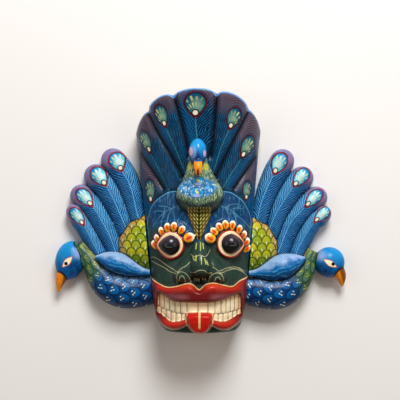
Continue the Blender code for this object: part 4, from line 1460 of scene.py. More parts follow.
def mouth_colour(nodes, paints, x, y):
    """Cream teeth going orange under the upper lip, in the corners and along the lower lips as painted shade,
    red lips with painted light, shade and sheen, and a scarlet tongue striped in cream.
    """
    aside = abs(x)
    # The teeth go orange under the upper lip, towards the mouth's corners and at the bottom of the lower row:
    # painted shade.
    root = nodes.either(nodes.rise(y, -113, -105), nodes.rise(aside, 38, 52) * 0.7)
    teeth = nodes.layered(
        paints.teeth,
        (root * 0.65, paints.tooth_root),
        (nodes.rise(y, -130, -138) * 0.3, paints.tooth_root),
        (drawn(nodes, "tooth", 0.8) * 0.9, (0.035, 0.012, 0.006)),
    )
    # The lips: orange-red where lit at the top, dark red as painted shade lower down and in the corners, and
    # a painted mauve sheen across the upper lip.
    upper = nodes.rise(y + aside * 0.06, -100, -90)
    sheen = nodes.rise(abs(y + 104), 6, 1) * nodes.rise(aside, 8, 20)
    lower = nodes.rise(y, -128, -136) * nodes.rise(aside, 54, 40)
    lips = nodes.layered(
        paints.lip_dark,
        (nodes.either(upper, lower), paints.lip_red),
        (nodes.rise(y, -95, -89) * nodes.rise(aside, 52, 34) * 0.6, paints.lip_orange),
        (sheen * 0.4, paints.lip_mauve),
        (nodes.rise(aside, 46, 58) * 0.85, paints.lip_dark),
    )
    stripe = nodes.rise(abs(x - 0.3), 1.7, 0.9) * nodes.rise(y, -143, -139)
    shade = nodes.rise(nodes.noise(0.3, 3.0, (1.5, 0.4, 1)), 0.5, 0.7)
    tongue = nodes.mix(stripe, nodes.mix(shade * 0.4, paints.tongue, paints.lip_dark), paints.cream)
    on_lips = nodes.rise(nodes.field("lip_lead"), -0.15, 0.15)
    on_tongue = nodes.rise(nodes.field("tongue_lead"), -0.15, 0.15)
    rim = drawn(nodes, "lip_rim", 1.0)
    return nodes.layered(teeth, (on_lips, lips), (on_tongue, tongue), (rim, paints.cream))


def face_colour(nodes, paints, x, y):
    """Dark green skin going blue on the forehead, with fine cream and sky-blue lines and a painted shadow
    under the nose.
    """
    forehead = nodes.rise(y - abs(x) * 0.25, -46, -24)
    speckle = nodes.rise(nodes.noise(0.3, 4.0, (1, 2.5, 1)), 0.5, 0.75)
    strokes = nodes.rise(nodes.noise(0.32, 3.0, (1.5, 0.35, 1)), 0.52, 0.68)
    skin = nodes.layered(
        nodes.mix(forehead, paints.face_green, paints.forehead_blue),
        (speckle * 0.35, paints.face_sheen),
        (strokes * forehead * 0.4, paints.sky_line),
        (drawn(nodes, "sky", 0.8) * 0.6, paints.sky_line),
        (drawn(nodes, "cream", 0.62) * 0.85, paints.fine_line),
        (drawn(nodes, "dab", 1.15) * 0.95, paints.dab_green),
    )
    tail = nodes.rise(nodes.field("tail_edge"), -0.2, 0.2)
    edge = nodes.field("forehead_edge")
    rim = nodes.rise(abs(edge - 1.5), 0.8, 0.3) * nodes.rise(y, -30, -14)
    # Near-black under the nose's tip and wings: painted shadow over the carved nostrils.
    nose_shadow = nodes.either(
        nodes.rise(nodes.oval(x, y, (0.5, -82.5), (14.0, 8.5)), 1.1, 0.6),
        nodes.rise(nodes.oval(x, y, (-20.0, -87.0), (9.0, 4.5)), 1.2, 0.5) * 0.8,
        nodes.rise(nodes.oval(x, y, (21.0, -87.0), (9.0, 4.5)), 1.2, 0.5) * 0.8,
    )
    strip = nodes.rise(nodes.field("rim"), 5.0, 3.0) * nodes.rise(y, -66, -50)
    skin = nodes.layered(
        skin,
        (nose_shadow * nodes.rise(drawn(nodes, "cream", 0.62), 0.5, 0.1), (0.002, 0.003, 0.003)),
        (strip, paints.strip_blue),
    )
    return nodes.layered(
        skin,
        (tail, leaf_colour(nodes, paints, x, y)),
        (rim * 0.7, paints.sky_line),
        (nodes.rise(edge, 1.1, 0.5), (0.002, 0.004, 0.008)),
        (drawn(nodes, "lip_rim", 1.0), paints.cream),
    )


def eye_colour(nodes, paints, x, y):
    """A glossy black pupil drawn out to the outer corner, with a painted reflection on its upper part and a
    painted highlight line over a thin black slit, then a cream ring and a red rim.
    """
    round_ = nodes.field("eye_round")
    far = nodes.math("GREATER_THAN", x, 0.0)
    middle_x = far * (PUPILS[1][0] - PUPILS[0][0]) + PUPILS[0][0]
    middle_y = far * (PUPILS[1][1] - PUPILS[0][1]) + PUPILS[0][1]
    outward = (x - middle_x) * (far * 2.0 - 1.0)
    up = abs((y - middle_y) * (1 / PUPIL_SPREAD[1]))
    corner = nodes.rise(outward, -0.01, 0.01)
    width = corner * (PUPIL_SPREAD[2] - PUPIL_SPREAD[0]) + PUPIL_SPREAD[0]
    power = 2.0 - corner * 0.55
    sideways = abs(nodes.math("DIVIDE", outward, width))
    pupil = nodes.math("POWER", sideways, power) + nodes.math("POWER", up, power)
    rim = 15.4 + (y + 41.0) * 0.05
    return nodes.layered(
        paints.eye_cream,
        (nodes.rise(pupil, 1.5, 1.1) * 0.5, paints.tooth_root),
        # The pupil's upper part carries a painted reflection.
        (
            nodes.rise(pupil, 1.08, 0.98),
            nodes.mix(nodes.rise(y - middle_y, -2, 9), paints.pupil, paints.pupil_sheen),
        ),
        # A thin painted highlight line across the pupil, with a thin black slit under it.
        (
            nodes.rise(nodes.oval(outward, y - middle_y, (1.5, -2.0), (4.2, 0.45)), 1.2, 0.8),
            paints.face_sheen,
        ),
        (nodes.rise(nodes.oval(outward, y - middle_y, (0.6, -3.4), (4.4, 0.9)), 1.2, 0.8), (0.0, 0.0, 0.0)),
        (nodes.rise(round_ - rim, -0.4, 0.3), paints.eye_rim),
        (nodes.rise(round_ - rim, 1.0, 2.8), paints.lip_dark),
    )


def petal_colour(nodes, paints):
    """An orange petal with a red heart and a white outer rim."""
    outward, sideways = nodes.pair("petal_chart")
    bent = sideways + (nodes.noise(0.3) - 0.5) * 0.8
    heart = nodes.oval(outward, bent, (-0.05, 0.0), (0.58, 0.34))
    reach = nodes.oval(outward, sideways, (-0.15, 0.0), (1.1, 1.15))
    rim = nodes.rise(reach, 0.62, 0.74) * nodes.rise(outward, -0.1, 0.35)
    return nodes.layered(
        paints.petal_orange,
        (nodes.rise(outward, -0.2, -0.7), paints.petal_yellow),
        (nodes.rise(heart, 1.15, 0.75), paints.petal_red),
        (rim, paints.petal_white),
        (nodes.rise(nodes.field("petal_seam"), 1.3, 0.7), (0.002, 0.002, 0.002)),
    )


def small_bird_colour(nodes, paints, x, y):
    """The forehead bird's green-grey neck with short strokes, its blue breast with two scales, and painted
    shade under the breast.
    """
    strokes = nodes.rise(nodes.noise(0.5, 1.0, (1.8, 0.45, 1)), 0.54, 0.62)
    darks = nodes.rise(nodes.noise(0.38, 2.0, (1.6, 0.5, 1)), 0.5, 0.36)
    breast = nodes.rise(nodes.oval(x, y, (-2.6, 29), (23.5, 12.5)), 1.15, 0.8)
    blue = nodes.layered(
        nodes.mix(nodes.rise(nodes.noise(0.16, 2.0), 0.4, 0.6), paints.breast_blue, paints.breast_sky),
        (nodes.rise(nodes.noise(0.3, 1.0, (1.3, 0.8, 1)), 0.58, 0.66), paints.pale_stroke),
    )
    green = nodes.layered(
        nodes.mix(nodes.noise(0.2), paints.neck_green, paints.neck_grey),
        (darks * 0.7, paints.belly_dark),
        (strokes * 0.75, paints.flank_stroke),
    )
    collar = nodes.either(
        nodes.rise(nodes.oval(x, y, (-12.0, 54.5), (3.6, 4.6)), 1.2, 0.6),
        nodes.rise(nodes.oval(x, y, (8.0, 54.0), (3.4, 4.8)), 1.2, 0.6),
    )
    colour = nodes.layered(
        green,
        (breast, blue),
        (collar * 0.8, paints.rump_yellow),
        # Dark under the breast, where it overhangs the tail: painted shade.
        (nodes.rise(y + abs(x) * -0.3, 11, 5) * 0.85, paints.belly_dark),
    )
    for centre, radii in (((-1.5, 36.7), (7.6, 5.6)), ((-3.3, 22.9), (9.2, 6.2))):
        reach = nodes.oval(x, y, centre, radii)
        dab = nodes.oval(x, y, (centre[0] + 0.5, centre[1] + 0.6), (1.3, 2.6), 60.0)
        colour = nodes.layered(
            colour,
            (nodes.rise(reach, 1.02, 0.92) * 0.5, paints.breast_cyan),
            (
                nodes.rise(nodes.oval(x, y, (centre[0], centre[1] - 4), (6, 3)), 1.2, 0.5) * 0.8,
                paints.head_pale,
            ),
            (nodes.rise(abs(reach - 1.0), 0.11, 0.04) * 0.8, (0.003, 0.015, 0.05)),
            (nodes.rise(dab, 1.3, 0.7), paints.yellow_stroke),
        )
    tail = nodes.rise(nodes.field("tail_edge"), -0.2, 0.2) * nodes.rise(y, 5.4, 4.4)
    return nodes.mix(tail, colour, leaf_colour(nodes, paints, x, y))


def small_head_colour(nodes, paints, x, y):
    """The forehead bird's blue head with a dark front and a pink patch at each side, lighter towards the top
    as painted light.
    """
    patches = nodes.either(
        nodes.rise(nodes.oval(x, y, (-10.2, 72.0), (2.6, 5.5)), 1.2, 0.6),
        nodes.rise(nodes.oval(x, y, (6.6, 69.8), (1.9, 4.2)), 1.2, 0.6),
    )
    front = nodes.rise(nodes.oval(x, y, (-1.8, 62.0), (3.4, 11.0)), 1.3, 0.3)
    temple = nodes.rise(nodes.oval(x, y, (-7.0, 70.0), (4.5, 10.0)), 1.2, 0.4)
    return nodes.layered(
        # Lighter towards the top of the head: painted light.
        nodes.mix(nodes.rise(y, 62, 80), paints.head_blue, paints.head_sky),
        (temple * 0.4, paints.head_pale),
        (front * 0.85, paints.head_dark),
        (patches * 0.8, paints.head_pink),
    )


def beak_colour(nodes, paints, lit=0.6):
    """Orange with redder streaks, and brown on the side away from the light."""
    streaks = nodes.rise(nodes.noise(0.3, 2.0, (2, 0.6, 1)), 0.48, 0.66)
    orange = nodes.mix(streaks * 0.6, paints.beak_orange, paints.beak_red)
    return nodes.mix(lit, paints.beak_brown, orange)


def crown_paint(paints):
    material, nodes, shader = new_paint("crown_paint", 0.1)
    apply_paint_and_shade(nodes, shader, crown_colour(nodes, paints))
    return material


def skin_paint(paints):
    material, nodes, shader = new_paint("skin_paint", 0.15)
    x, y, _ = nodes.apart(nodes.place())
    under_tail = nodes.rise(nodes.field("tail_edge"), -0.6, 0.0) * 3.0
    seam = nodes.field("seam") + under_tail
    groove = nodes.field("groove") * 0.4
    apply_paint_and_shade(nodes, shader, face_colour(nodes, paints, x, y), groove, seam)
    return material


def mouth_paint(paints):
    material, nodes, shader = new_paint("mouth_paint", 0.22)
    x, y, _ = nodes.apart(nodes.place())
    groove = nodes.field("groove") * 0.3
    apply_paint_and_shade(nodes, shader, mouth_colour(nodes, paints, x, y), groove)
    return material


def eye_paint(paints):
    material, nodes, shader = new_paint("eye_paint", 0.6)
    x, y, _ = nodes.apart(nodes.place())
    petals, on_eye = petal_colour(nodes, paints), on_form(nodes, "eye")
    groove = nodes.field("groove") * (1.0 - on_eye * 0.9)
    seam = nodes.field("seam") + on_eye * 0.5
    apply_paint_and_shade(nodes, shader, nodes.mix(on_eye, petals, eye_colour(nodes, paints, x, y)), groove, seam)
    return material


def small_bird_paint(paints):
    material, nodes, shader = new_paint("forehead_bird_paint", 0.22)
    x, y, _ = nodes.apart(nodes.place())
    colour = nodes.layered(
        small_bird_colour(nodes, paints, x, y),
        (
            nodes.either(on_form(nodes, "head"), on_form(nodes, "beak")),
            small_head_colour(nodes, paints, x, y),
        ),
        (on_form(nodes, "beak") * nodes.rise(y, 60.2, 59.4), beak_colour(nodes, paints, 1.0)),
        (
            on_form(nodes, "beak") * nodes.rise(abs(x + 1.5), 2.0, 0.8) * nodes.rise(y, 54, 48),
            paints.lip_dark,
        ),
    )
    under_tail = nodes.rise(nodes.field("tail_edge"), -0.6, 0.0) * nodes.rise(y, 7.0, 5.0)
    seam = nodes.field("seam") + under_tail * 3.0
    apply_paint_and_shade(nodes, shader, colour, None, seam)
    return material


def side_feather_colour(nodes, paints):
    """Bright blue feathers with plum tips, pale eye spots, a light shaft and fine barbs, painted light on the
    upper flank and painted shade on the other.
    """
    across, along = pattern_places(nodes)
    barbs = nodes.use("feather_barbs", Across=across, Along=along)
    spot = nodes.use(
        "peacock_eye",
        Across=across,
        Along=along,
        Ring=paints.side_ring,
        Fill=paints.side_spot,
        Sky=paints.side_spot_sky,
        Pale=paints.side_spot_pale,
        Stroke=paints.yellow_stroke,
    )
    lit = nodes.rise(across, 0.0, 0.35) * nodes.rise(across, 1.6, 0.8)
    near_spot = nodes.rise(along, -1.6, 0.0)
    tip = nodes.rise(along, 0.3, 0.6) * nodes.rise(spot["Reach"], 0.9, 1.1)
    return nodes.layered(
        # Deep blue on one flank is painted shade; the paler upper flank near the spot is painted light.
        nodes.mix(nodes.rise(across, 0.15, -0.9), paints.side_blue, paints.side_deep),
        (lit * near_spot * 0.45, paints.side_sky),
        (barbs["Dark"] * 0.9, paints.side_line),
        (barbs["Light"] * (lit * 0.45 + 0.5), paints.side_sky),
        (tip * 0.75, paints.side_tip),
        (barbs["Shaft"] * 0.75, paints.side_shaft),
        (spot["Mask"], spot["Colour"]),
    )


def rump_colour(nodes, paints):
    """Yellow-green scales, tan at the top and dark green at the bottom."""
    across, up = nodes.pair("rump_chart")
    scales = nodes.use("fish_scales", Across=across * (1 / 12), Along=up * (1 / 9.0))
    tan = nodes.rise(nodes.oval(across, up, (0.0, 0.0), (40.0, 42.0)), 0.72, 0.95)
    return nodes.layered(
        nodes.mix(scales["Tone"], paints.rump_yellow, paints.rump_green),
        (nodes.rise(scales["Tip"], 0.6, -0.6) * 0.6, paints.rump_green),
        # Greener towards each scale's base: painted shade under the scale above.
        (nodes.rise(up, 4, -30) * 0.85, paints.rump_dark),
        (tan * 0.8, paints.rump_tan),
        (scales["Outline"] * 0.85, (0.006, 0.02, 0.006)),
        (scales["Dab"] * 0.9, paints.pale_stroke),
    )


def body_colour(nodes, paints):
    """A green neck going over into a blue body, with outlined scales and yellow dabs, and painted light and
    shade on the scales and along the edges.
    """
    across, along = nodes.pair("body_chart")
    scales = nodes.use("fish_scales", Across=across * 1.45, Along=along * (1 / 13.5))
    neck = nodes.rise(along + across * 6.0, 54, 34)
    # Each scale darker towards its base and the lower side darker as painted shade; the upper edge paler as a
    # painted sheen.
    blue = nodes.layered(
        nodes.mix(nodes.rise(scales["Tip"], -0.4, 0.8), paints.body_shade_blue, paints.body_blue),
        (nodes.rise(across, -0.1, -0.85) * 0.8, paints.body_shade_blue),
        (nodes.rise(across, 0.35, 0.9) * 0.75, paints.body_top_sheen),
    )
    # The neck's scale tips and its lit side paler: painted light.
    green = nodes.layered(
        paints.neck_green,
        (nodes.rise(scales["Tip"], 0.0, 0.9) * 0.4, paints.neck_grey),
        (nodes.rise(across, 0.2, 0.9) * 0.8, paints.neck_pale),
    )
    return nodes.layered(
        nodes.mix(neck, blue, green),
        (scales["Outline"] * 0.75, (0.001, 0.006, 0.02)),
        (scales["Dabs"] * 0.9, nodes.mix(neck, paints.pale_stroke, paints.rump_yellow)),
    )


def wing_colour(nodes, paints):
    """A leaf-shaped wing with fine lengthwise lines, pale above as painted light and deep blue below as
    painted shade.
    """
    across, along = nodes.pair("wing_chart")
    lines = nodes.math("FRACT", across * 2.6 + nodes.noise(0.05) * 3.0)
    worn = nodes.rise(nodes.noise(0.2), 0.35, 0.6)
    fine = nodes.rise(abs(lines - 0.5), 0.2, 0.05) * worn
    # Painted light across the wing: pale along its upper side, deep blue along its lower side.
    shade = across + (nodes.noise(0.12, 2.0) - 0.5) * 1.2
    return nodes.layered(
        nodes.mix(nodes.rise(shade, -1.0, -0.1), paints.wing_deep, paints.wing_blue),
        (nodes.rise(shade, -0.1, 0.8) * 0.9, paints.wing_pale),
        (fine * 0.5, paints.side_sky),
    )


def head_colour(nodes, paints, side, x, y):
    """A blue head, brighter at the crown as painted light and darker low on the cheek as painted shade, pale
    at the nape, with an almond eye.
    """
    hand = 1 if side == "left" else -1
    centre, radii, _ = HEADS[side]
    eye_centre, slant, long, wide, pupil = BIRD_EYES[side]
    along, across = nodes.turned(x, y, eye_centre, slant)
    bend = nodes.math("POWER", abs(along * (1 / long)), 1.6)
    almond = abs(across * (1 / wide)) + bend
    dot = nodes.oval(x, y, pupil, (2.2, 2.2))
    nape = nodes.oval(x, y, (centre[0] + 14 * hand, centre[1] + 10), (10, 8))
    cheek = nodes.oval(x, y, (centre[0] + 9 * hand, centre[1] - 9), (13, 13))
    streaks = nodes.rise(nodes.noise(0.2, 3.0, (1, 0.5, 1)), 0.4, 0.65)
    return nodes.layered(
        # Lighter towards the top and dark low on the cheek: painted light and shade.
        nodes.mix(nodes.rise(y, centre[1] - 12, centre[1] + 16), paints.head_blue, paints.head_sky),
        (nodes.rise(cheek, 1.2, 0.3) * 0.8, paints.head_dark),
        (streaks * 0.25, paints.head_sky),
        (nodes.rise(nape, 1.3, 0.2) * 0.7, paints.head_pale),
        (nodes.rise(almond, 1.4, 1.2), paints.beak_red),
        (nodes.rise(almond, 1.16, 0.98), paints.eye_cream),
        (nodes.rise(dot, 1.2, 0.9), paints.pupil),
    )


def beak_light(nodes, side, x, y):
    """How much of the orange shows on a side bird's beak: most on its left side."""
    (top_x, top_y, _), _, (end_x, end_y, _) = BEAKS[side][0]
    lean = (end_x - top_x) / (end_y - top_y)
    from_line = x - ((y - top_y) * lean + top_x)
    return nodes.rise(from_line, 4.0, 0.5)


def peacock_paint(paints, side):
    """All the paint of one side bird."""
    material, nodes, shader = new_paint(side + "_peacock_paint", 0.12)
    x, y, _ = nodes.apart(nodes.place())
    colour = nodes.layered(
        side_feather_colour(nodes, paints),
        (on_form(nodes, "rump"), rump_colour(nodes, paints)),
        (on_form(nodes, "body"), body_colour(nodes, paints)),
        (on_form(nodes, "wing"), wing_colour(nodes, paints)),
        (on_form(nodes, "head"), head_colour(nodes, paints, side, x, y)),
        (on_form(nodes, "beak"), beak_colour(nodes, paints, beak_light(nodes, side, x, y))),
    )
    apply_paint_and_shade(nodes, shader, colour)
    return material


def bare_wood(paints):
    """The unpainted back: pale light wood with its grain running up the mask."""
    material, nodes, shader = new_paint("bare_wood", 0.0)
    grain = nodes.noise(0.35, 5.0, (1, 0.06, 1))
    rings = nodes.add("TexWave", wave_type="BANDS", bands_direction="X")
    nodes.feed(rings.inputs["Vector"], nodes.place())
    nodes.feed(rings.inputs["Scale"], 0.045)
    nodes.feed(rings.inputs["Distortion"], 5.0)
    nodes.feed(rings.inputs["Detail Scale"], 0.6)
    wood = nodes.mix(grain, paints.wood_dark, paints.wood_pale)
    nodes.feed(
        shader.inputs["Base Color"],
        nodes.mix(nodes.value(rings.outputs["Fac"]) * 0.3, wood, paints.wood_dark),
    )
    nodes.feed(shader.inputs["Roughness"], grain * 0.25 + 0.6)
    roughened(nodes, shader, grain, GRAIN_BUMP)
    return material


def edge_paint(paints):
    """The flat sawn sides, brushed over in the crown's darkest paint."""
    material, nodes, shader = new_paint("sawn_side_paint", 0.25)
    streaks = nodes.noise(0.4, 4.0, (1, 0.12, 1))
    nodes.feed(shader.inputs["Base Color"], nodes.mix(streaks, (0.004, 0.01, 0.02), paints.crown_navy))
    nodes.feed(shader.inputs["Roughness"], streaks * 0.2 + 0.3)
    return material


def paint(name, description, red, green, blue):
    """A paint's colour, which can be changed in the panel."""
    return FloatVectorProperty(
        name=name,
        description=description,
        subtype="COLOR",
        size=3,
        min=0,
        max=1,
        default=srgb(red, green, blue),
    )


class MaskSizes(bpy.types.PropertyGroup):
    """How finely the mask is carved."""

    block_grain: FloatProperty(
        name="Block grain",
        description="Size of the faces that the middle block's skin is made of",
        default=1.17 * MM,
        min=0.8 * MM,
        max=4 * MM,
        unit="LENGTH",
        precision=5,
    )
    peacock_grain: FloatProperty(
        name="Peacock grain",
        description="Size of the faces that a side bird's skin is made of",
        default=0.95 * MM,
        min=0.7 * MM,
        max=4 * MM,
        unit="LENGTH",
        precision=5,
    )


class MaskPaints(bpy.types.PropertyGroup):
    """The paints of the mask."""

    crown_navy: paint("Crown navy", "Darker side of the crown", 0, 38, 72)
    crown_blue: paint("Crown blue", "Outer band of the crown", 0, 72, 124)
    crown_barb: paint("Crown barbs", "Fine light lines on the crown", 20, 116, 164)
    crown_shaft: paint("Crown shaft", "Shafts of the crown", 60, 150, 165)
    crown_tip: paint("Crown tip", "Plum tips of the crown", 84, 54, 52)
    # The crown rim blue paints both the contour lines on the tips and the painted highlight on the crown's
    # top edge.
    crown_rim_and_highlight: paint("Crown rim", "Light blue on the crown's outer edge", 96, 156, 214)
    crown_ring: paint("Crown ring", "Ring round the crown's spots", 88, 16, 18)
    crown_spot: paint("Crown spot", "Teal of the crown's spots", 40, 104, 104)
    crown_spot_sky: paint("Crown spot blue", "Blue at the top of the crown's spots", 0, 78, 112)
    crown_pale: paint("Crown spot pale", "Pale strokes in the crown's spots", 122, 160, 140)
    # Feather deep blue and light blue also paint the shade and light on the side feathers' flanks.
    side_blue: paint("Feather blue", "Side feathers", 0, 94, 160)
    side_deep: paint("Feather deep blue", "Shaded flank of the side feathers", 0, 76, 138)
    side_line: paint("Feather lines", "Thin dark lines between the barbs", 0, 36, 84)
    side_sky: paint("Feather light blue", "Lit barbs of the side feathers", 104, 184, 232)
    side_shaft: paint("Feather shaft", "Shafts of the side feathers", 110, 190, 226)
    side_tip: paint("Feather tip", "Plum tips of the side feathers", 132, 112, 150)
    side_ring: paint("Feather ring", "Ring round the side spots", 150, 44, 52)
    side_spot: paint("Feather spot", "Teal of the side spots", 84, 186, 206)
    side_spot_pale: paint("Feather spot pale", "Pale middle of the side spots", 214, 236, 232)
    side_spot_sky: paint("Feather spot blue", "Blue crescent in the side spots", 0, 116, 176)
    rump_yellow: paint("Rump yellow", "Brightest scales at the sides", 190, 186, 30)
    rump_green: paint("Rump green", "Greener scales at the sides", 122, 146, 22)
    rump_dark: paint("Rump dark green", "Lowest scales at the sides", 30, 96, 34)
    rump_tan: paint("Rump tan", "Tan at the top of the scales", 200, 148, 84)
    # Body deep blue is the bodies' painted shade and body light blue the painted sheen along their tops.
    body_blue: paint("Body blue", "Side bodies", 0, 92, 160)
    body_shade_blue: paint("Body deep blue", "Underside of the side bodies", 0, 48, 100)
    body_top_sheen: paint("Body light blue", "Upper edge of the side bodies", 130, 172, 214)
    # Wing pale and deep blue paint the light and shade on the wings.
    wing_blue: paint("Wing blue", "Side wings", 0, 98, 164)
    wing_deep: paint("Wing deep blue", "Lower side of the wings", 0, 62, 122)
    wing_pale: paint("Wing pale blue", "Upper side of the wings", 150, 178, 214)
    # Head light blue paints the light on the heads' tops, and head dark blue the painted shade low on the
    # side heads.
    head_blue: paint("Head blue", "Birds' heads", 0, 86, 156)
    head_sky: paint("Head light blue", "Top of the birds' heads", 20, 134, 198)
    head_dark: paint("Head dark blue", "Shaded part of the birds' heads", 2, 42, 100)
    head_pale: paint("Nape", "Pale patch on the side napes", 160, 178, 222)
    head_pink: paint("Cheek patch", "Pink patches on the small bird's head", 214, 176, 196)
    neck_green: paint("Neck green", "Birds' necks", 58, 98, 56)
    neck_pale: paint("Neck light green", "Lit side of the side necks", 150, 160, 90)
    neck_grey: paint("Neck grey", "Grey-green between the strokes on the small bird", 104, 134, 124)
    breast_blue: paint("Breast blue", "Small bird's breast", 20, 112, 176)
    breast_sky: paint("Breast light blue", "Lighter blue on the breast", 92, 164, 222)
    breast_cyan: paint("Breast cyan", "Inside of the two scales on the breast", 0, 148, 196)
    # The belly colour paints both dark strokes on the neck and the painted shade under the small bird's
    # breast.
    belly_dark: paint("Belly", "Dark underside of the small bird", 26, 44, 50)
    beak_orange: paint("Beak orange", "Beaks", 226, 136, 22)
    beak_brown: paint("Beak brown", "Shaded side of the beaks", 118, 66, 14)
    beak_red: paint("Beak red", "Streaks on the beaks", 190, 70, 18)
    tail_olive: paint("Tail olive", "Small bird's tail", 78, 70, 8)
    tail_gold: paint("Tail gold", "Edges of the small bird's tail", 128, 100, 18)
    face_green: paint("Face green", "Demon's skin", 38, 60, 52)
    # Face sheen also paints the highlight line on the pupils.
    face_sheen: paint("Face sheen", "Lighter touches on the skin", 72, 94, 84)
    strip_blue: paint("Side strip", "Blue at the sides of the face", 0, 96, 172)
    forehead_blue: paint("Forehead blue", "Blue of the forehead", 0, 60, 108)
    sky_line: paint("Sky-blue line", "Lines on the forehead", 90, 160, 190)
    fine_line: paint("Fine line", "Fine lines on the face", 206, 200, 150)
    dab_green: paint("Dabs", "Yellow-green dabs on the nose", 190, 200, 96)
    cream: paint("Cream", "Outlines of the lips and the tongue", 240, 198, 140)
    eye_cream: paint("Eye cream", "Rings round the pupils", 250, 230, 190)
    eye_rim: paint("Eye rim", "Red rims of the eyes", 196, 58, 30)
    # The pupil sheen is a painted reflection.
    pupil_sheen: paint("Pupil sheen", "Upper part of the pupils", 50, 40, 52)
    pupil: paint("Pupil", "Black of the eyes", 8, 8, 12)
    petal_orange: paint("Petal orange", "Petals over the eyes", 244, 146, 22)
    petal_yellow: paint("Petal yellow", "Inner ends of the petals", 240, 178, 40)
    petal_red: paint("Petal red", "Hearts of the petals", 196, 62, 14)
    petal_white: paint("Petal white", "Outer rims of the petals", 250, 226, 200)
    # Lip red and orange are the lips' lit parts, lip dark red their painted shade, and the mauve their
    # painted sheen.
    lip_red: paint("Lip red", "Lit part of the lips", 172, 32, 14)
    lip_orange: paint("Lip orange", "Orange edge of the upper lip", 204, 74, 34)
    lip_mauve: paint("Lip sheen", "Mauve sheen on the upper lip", 160, 104, 112)
    lip_dark: paint("Lip dark red", "Shaded part of the lips", 104, 18, 20)
    teeth: paint("Teeth", "Teeth", 250, 232, 192)
    # The tooth root orange is also the painted shade on the teeth.
    tooth_root: paint("Tooth root", "Orange shade at the teeth's roots", 226, 160, 84)
    tongue: paint("Tongue", "Tongue", 192, 24, 10)
    flank_stroke: paint("Flank stroke", "Pale strokes on the small bird's neck", 196, 208, 158)
    yellow_stroke: paint("Yellow stroke", "Small yellow strokes", 214, 210, 120)
    pale_stroke: paint("Pale stroke", "Small pale strokes", 226, 230, 190)
    wood_pale: paint("Pale wood", "Bare wood", 214, 182, 134)
    wood_dark: paint("Grain", "Grain of the bare wood", 168, 128, 84)


class StageLook(bpy.types.PropertyGroup):
    """The floor and the light."""

    floor: paint("Floor", "Plain pale floor", 240, 238, 236)
    key_power: FloatProperty(
        name="Main light", description="Power of the main light", default=47, min=0, unit="POWER"
    )
    room_light: FloatProperty(
        name="Room light", description="Strength of the light from all around", default=0.24, min=0
    )


def make_shared_paints():
    for make in (make_brush_line, make_brush_and_shade, make_peacock_eye, make_feather_barbs, make_fish_scales):
        make()


def finished(name, mesh, materials, chosen):
    """The carved piece in metres, with its paints, standing for its node of the frame."""
    mesh.materials.clear()
    for material in materials:
        mesh.materials.append(material)
    mesh.polygons.foreach_set("material_index", chosen.astype(np.int32))
    mesh.transform(Matrix.Scale(MM, 4) @ Matrix.Translation(CENTRING))
    mesh.shade_smooth()
    mesh.set_sharp_from_angle(angle=math.radians(SHARP_ANGLE))
    mesh.name = name + "_carving"
    thing = object_of(mesh, name + "_carving")
    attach(thing, "root")
    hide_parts(name)
    return thing


def on_faces(mesh, name):
    """The mean over each triangle of a number stored for the vertices."""
    values = np.empty(len(mesh.vertices), dtype=np.float32)
    mesh.attributes[name].data.foreach_get("value", values)
    corners = np.empty(len(mesh.loops), dtype=np.int32)
    mesh.loops.foreach_get("vertex_index", corners)
    totals = np.empty(len(mesh.polygons), dtype=np.int32)
    mesh.polygons.foreach_get("loop_total", totals)
    starts = np.concatenate(([0], np.cumsum(totals)[:-1]))
    return np.add.reduceat(values[corners], starts) / totals


def block_materials(mesh):
    """Which paint each face of the block has."""
    middles = face_middles(mesh)
    x, y, z = middles.T
    chosen = np.where(on_faces(mesh, "forehead_edge") > 0, ON_SKIN, ON_CROWN)
    chosen[(chosen == ON_SKIN) & (on_faces(mesh, "mouth_edge") > 0)] = ON_MOUTH
    for index, forms in ((ON_EYE, ("petal", "eye")), (ON_BIRD, ("bird", "head", "beak"))):
        for form in forms:
            chosen[on_faces(mesh, form + "_edge") > 0] = index
    middle, half, height = hollow_at(y)
    in_hollow = ((x - middle) / half) ** 2 + (z / height) ** 2 < 1.15
    chosen[(z < NEAR_PLANE) | in_hollow] = ON_BARE_WOOD
    for side in (LEFT_SIDE, RIGHT_SIDE):
        point, outward = side_plane(side, 0.0)
        off = (middles - np.array(point)) @ np.array(outward)
        chosen[(off > -NEAR_PLANE) & (chosen != ON_BARE_WOOD)] = ON_SAWN_SIDE
    return chosen


def peacock_materials(mesh, side):
    middles = face_middles(mesh)
    point, outward = side_plane(LEFT_SIDE if side == "left" else RIGHT_SIDE, SEAM_GAP)
    off = (middles - np.array(point)) @ np.array(outward)
    front = np.where(off < NEAR_PLANE, BIRD_SAWN_SIDE, BIRD_PAINTED)
    return np.where(middles[:, 2] < NEAR_PLANE, BIRD_BARE_WOOD, front)


class MASK_OT_carve_block(bpy.types.Operator):
    """Carves and paints the middle block with the face, the forehead bird and the crown"""

    bl_idname = "mask.carve_block"
    bl_label = "Carve Face and Crown"

    def execute(self, context):
        sizes, paints = context.scene.mask_sizes, context.scene.mask_paints
        mesh = block_mesh(sizes.block_grain / MM, SMOOTH_PASSES)
        measure_block(mesh)
        makers = (crown_paint, skin_paint, mouth_paint, eye_paint, small_bird_paint, bare_wood, edge_paint)
        materials = [make(paints) for make in makers]
        finished("face_and_crown", mesh, materials, block_materials(mesh))
        return {"FINISHED"}


class MASK_OT_carve_peacocks(bpy.types.Operator):
    """Carves and paints the two side birds"""

    bl_idname = "mask.carve_peacocks"
    bl_label = "Carve Side Peacocks"

    def execute(self, context):
        sizes, paints = context.scene.mask_sizes, context.scene.mask_paints
        for side in ("left", "right"):
            mesh = peacock_mesh(side, sizes.peacock_grain / MM, SMOOTH_PASSES)
            measure_peacock(mesh, side)
            materials = [
                peacock_paint(paints, side),
                bpy.data.materials["bare_wood"],
                bpy.data.materials["sawn_side_paint"],
            ]
            finished(side + "_peacock", mesh, materials, peacock_materials(mesh, side))
        return {"FINISHED"}


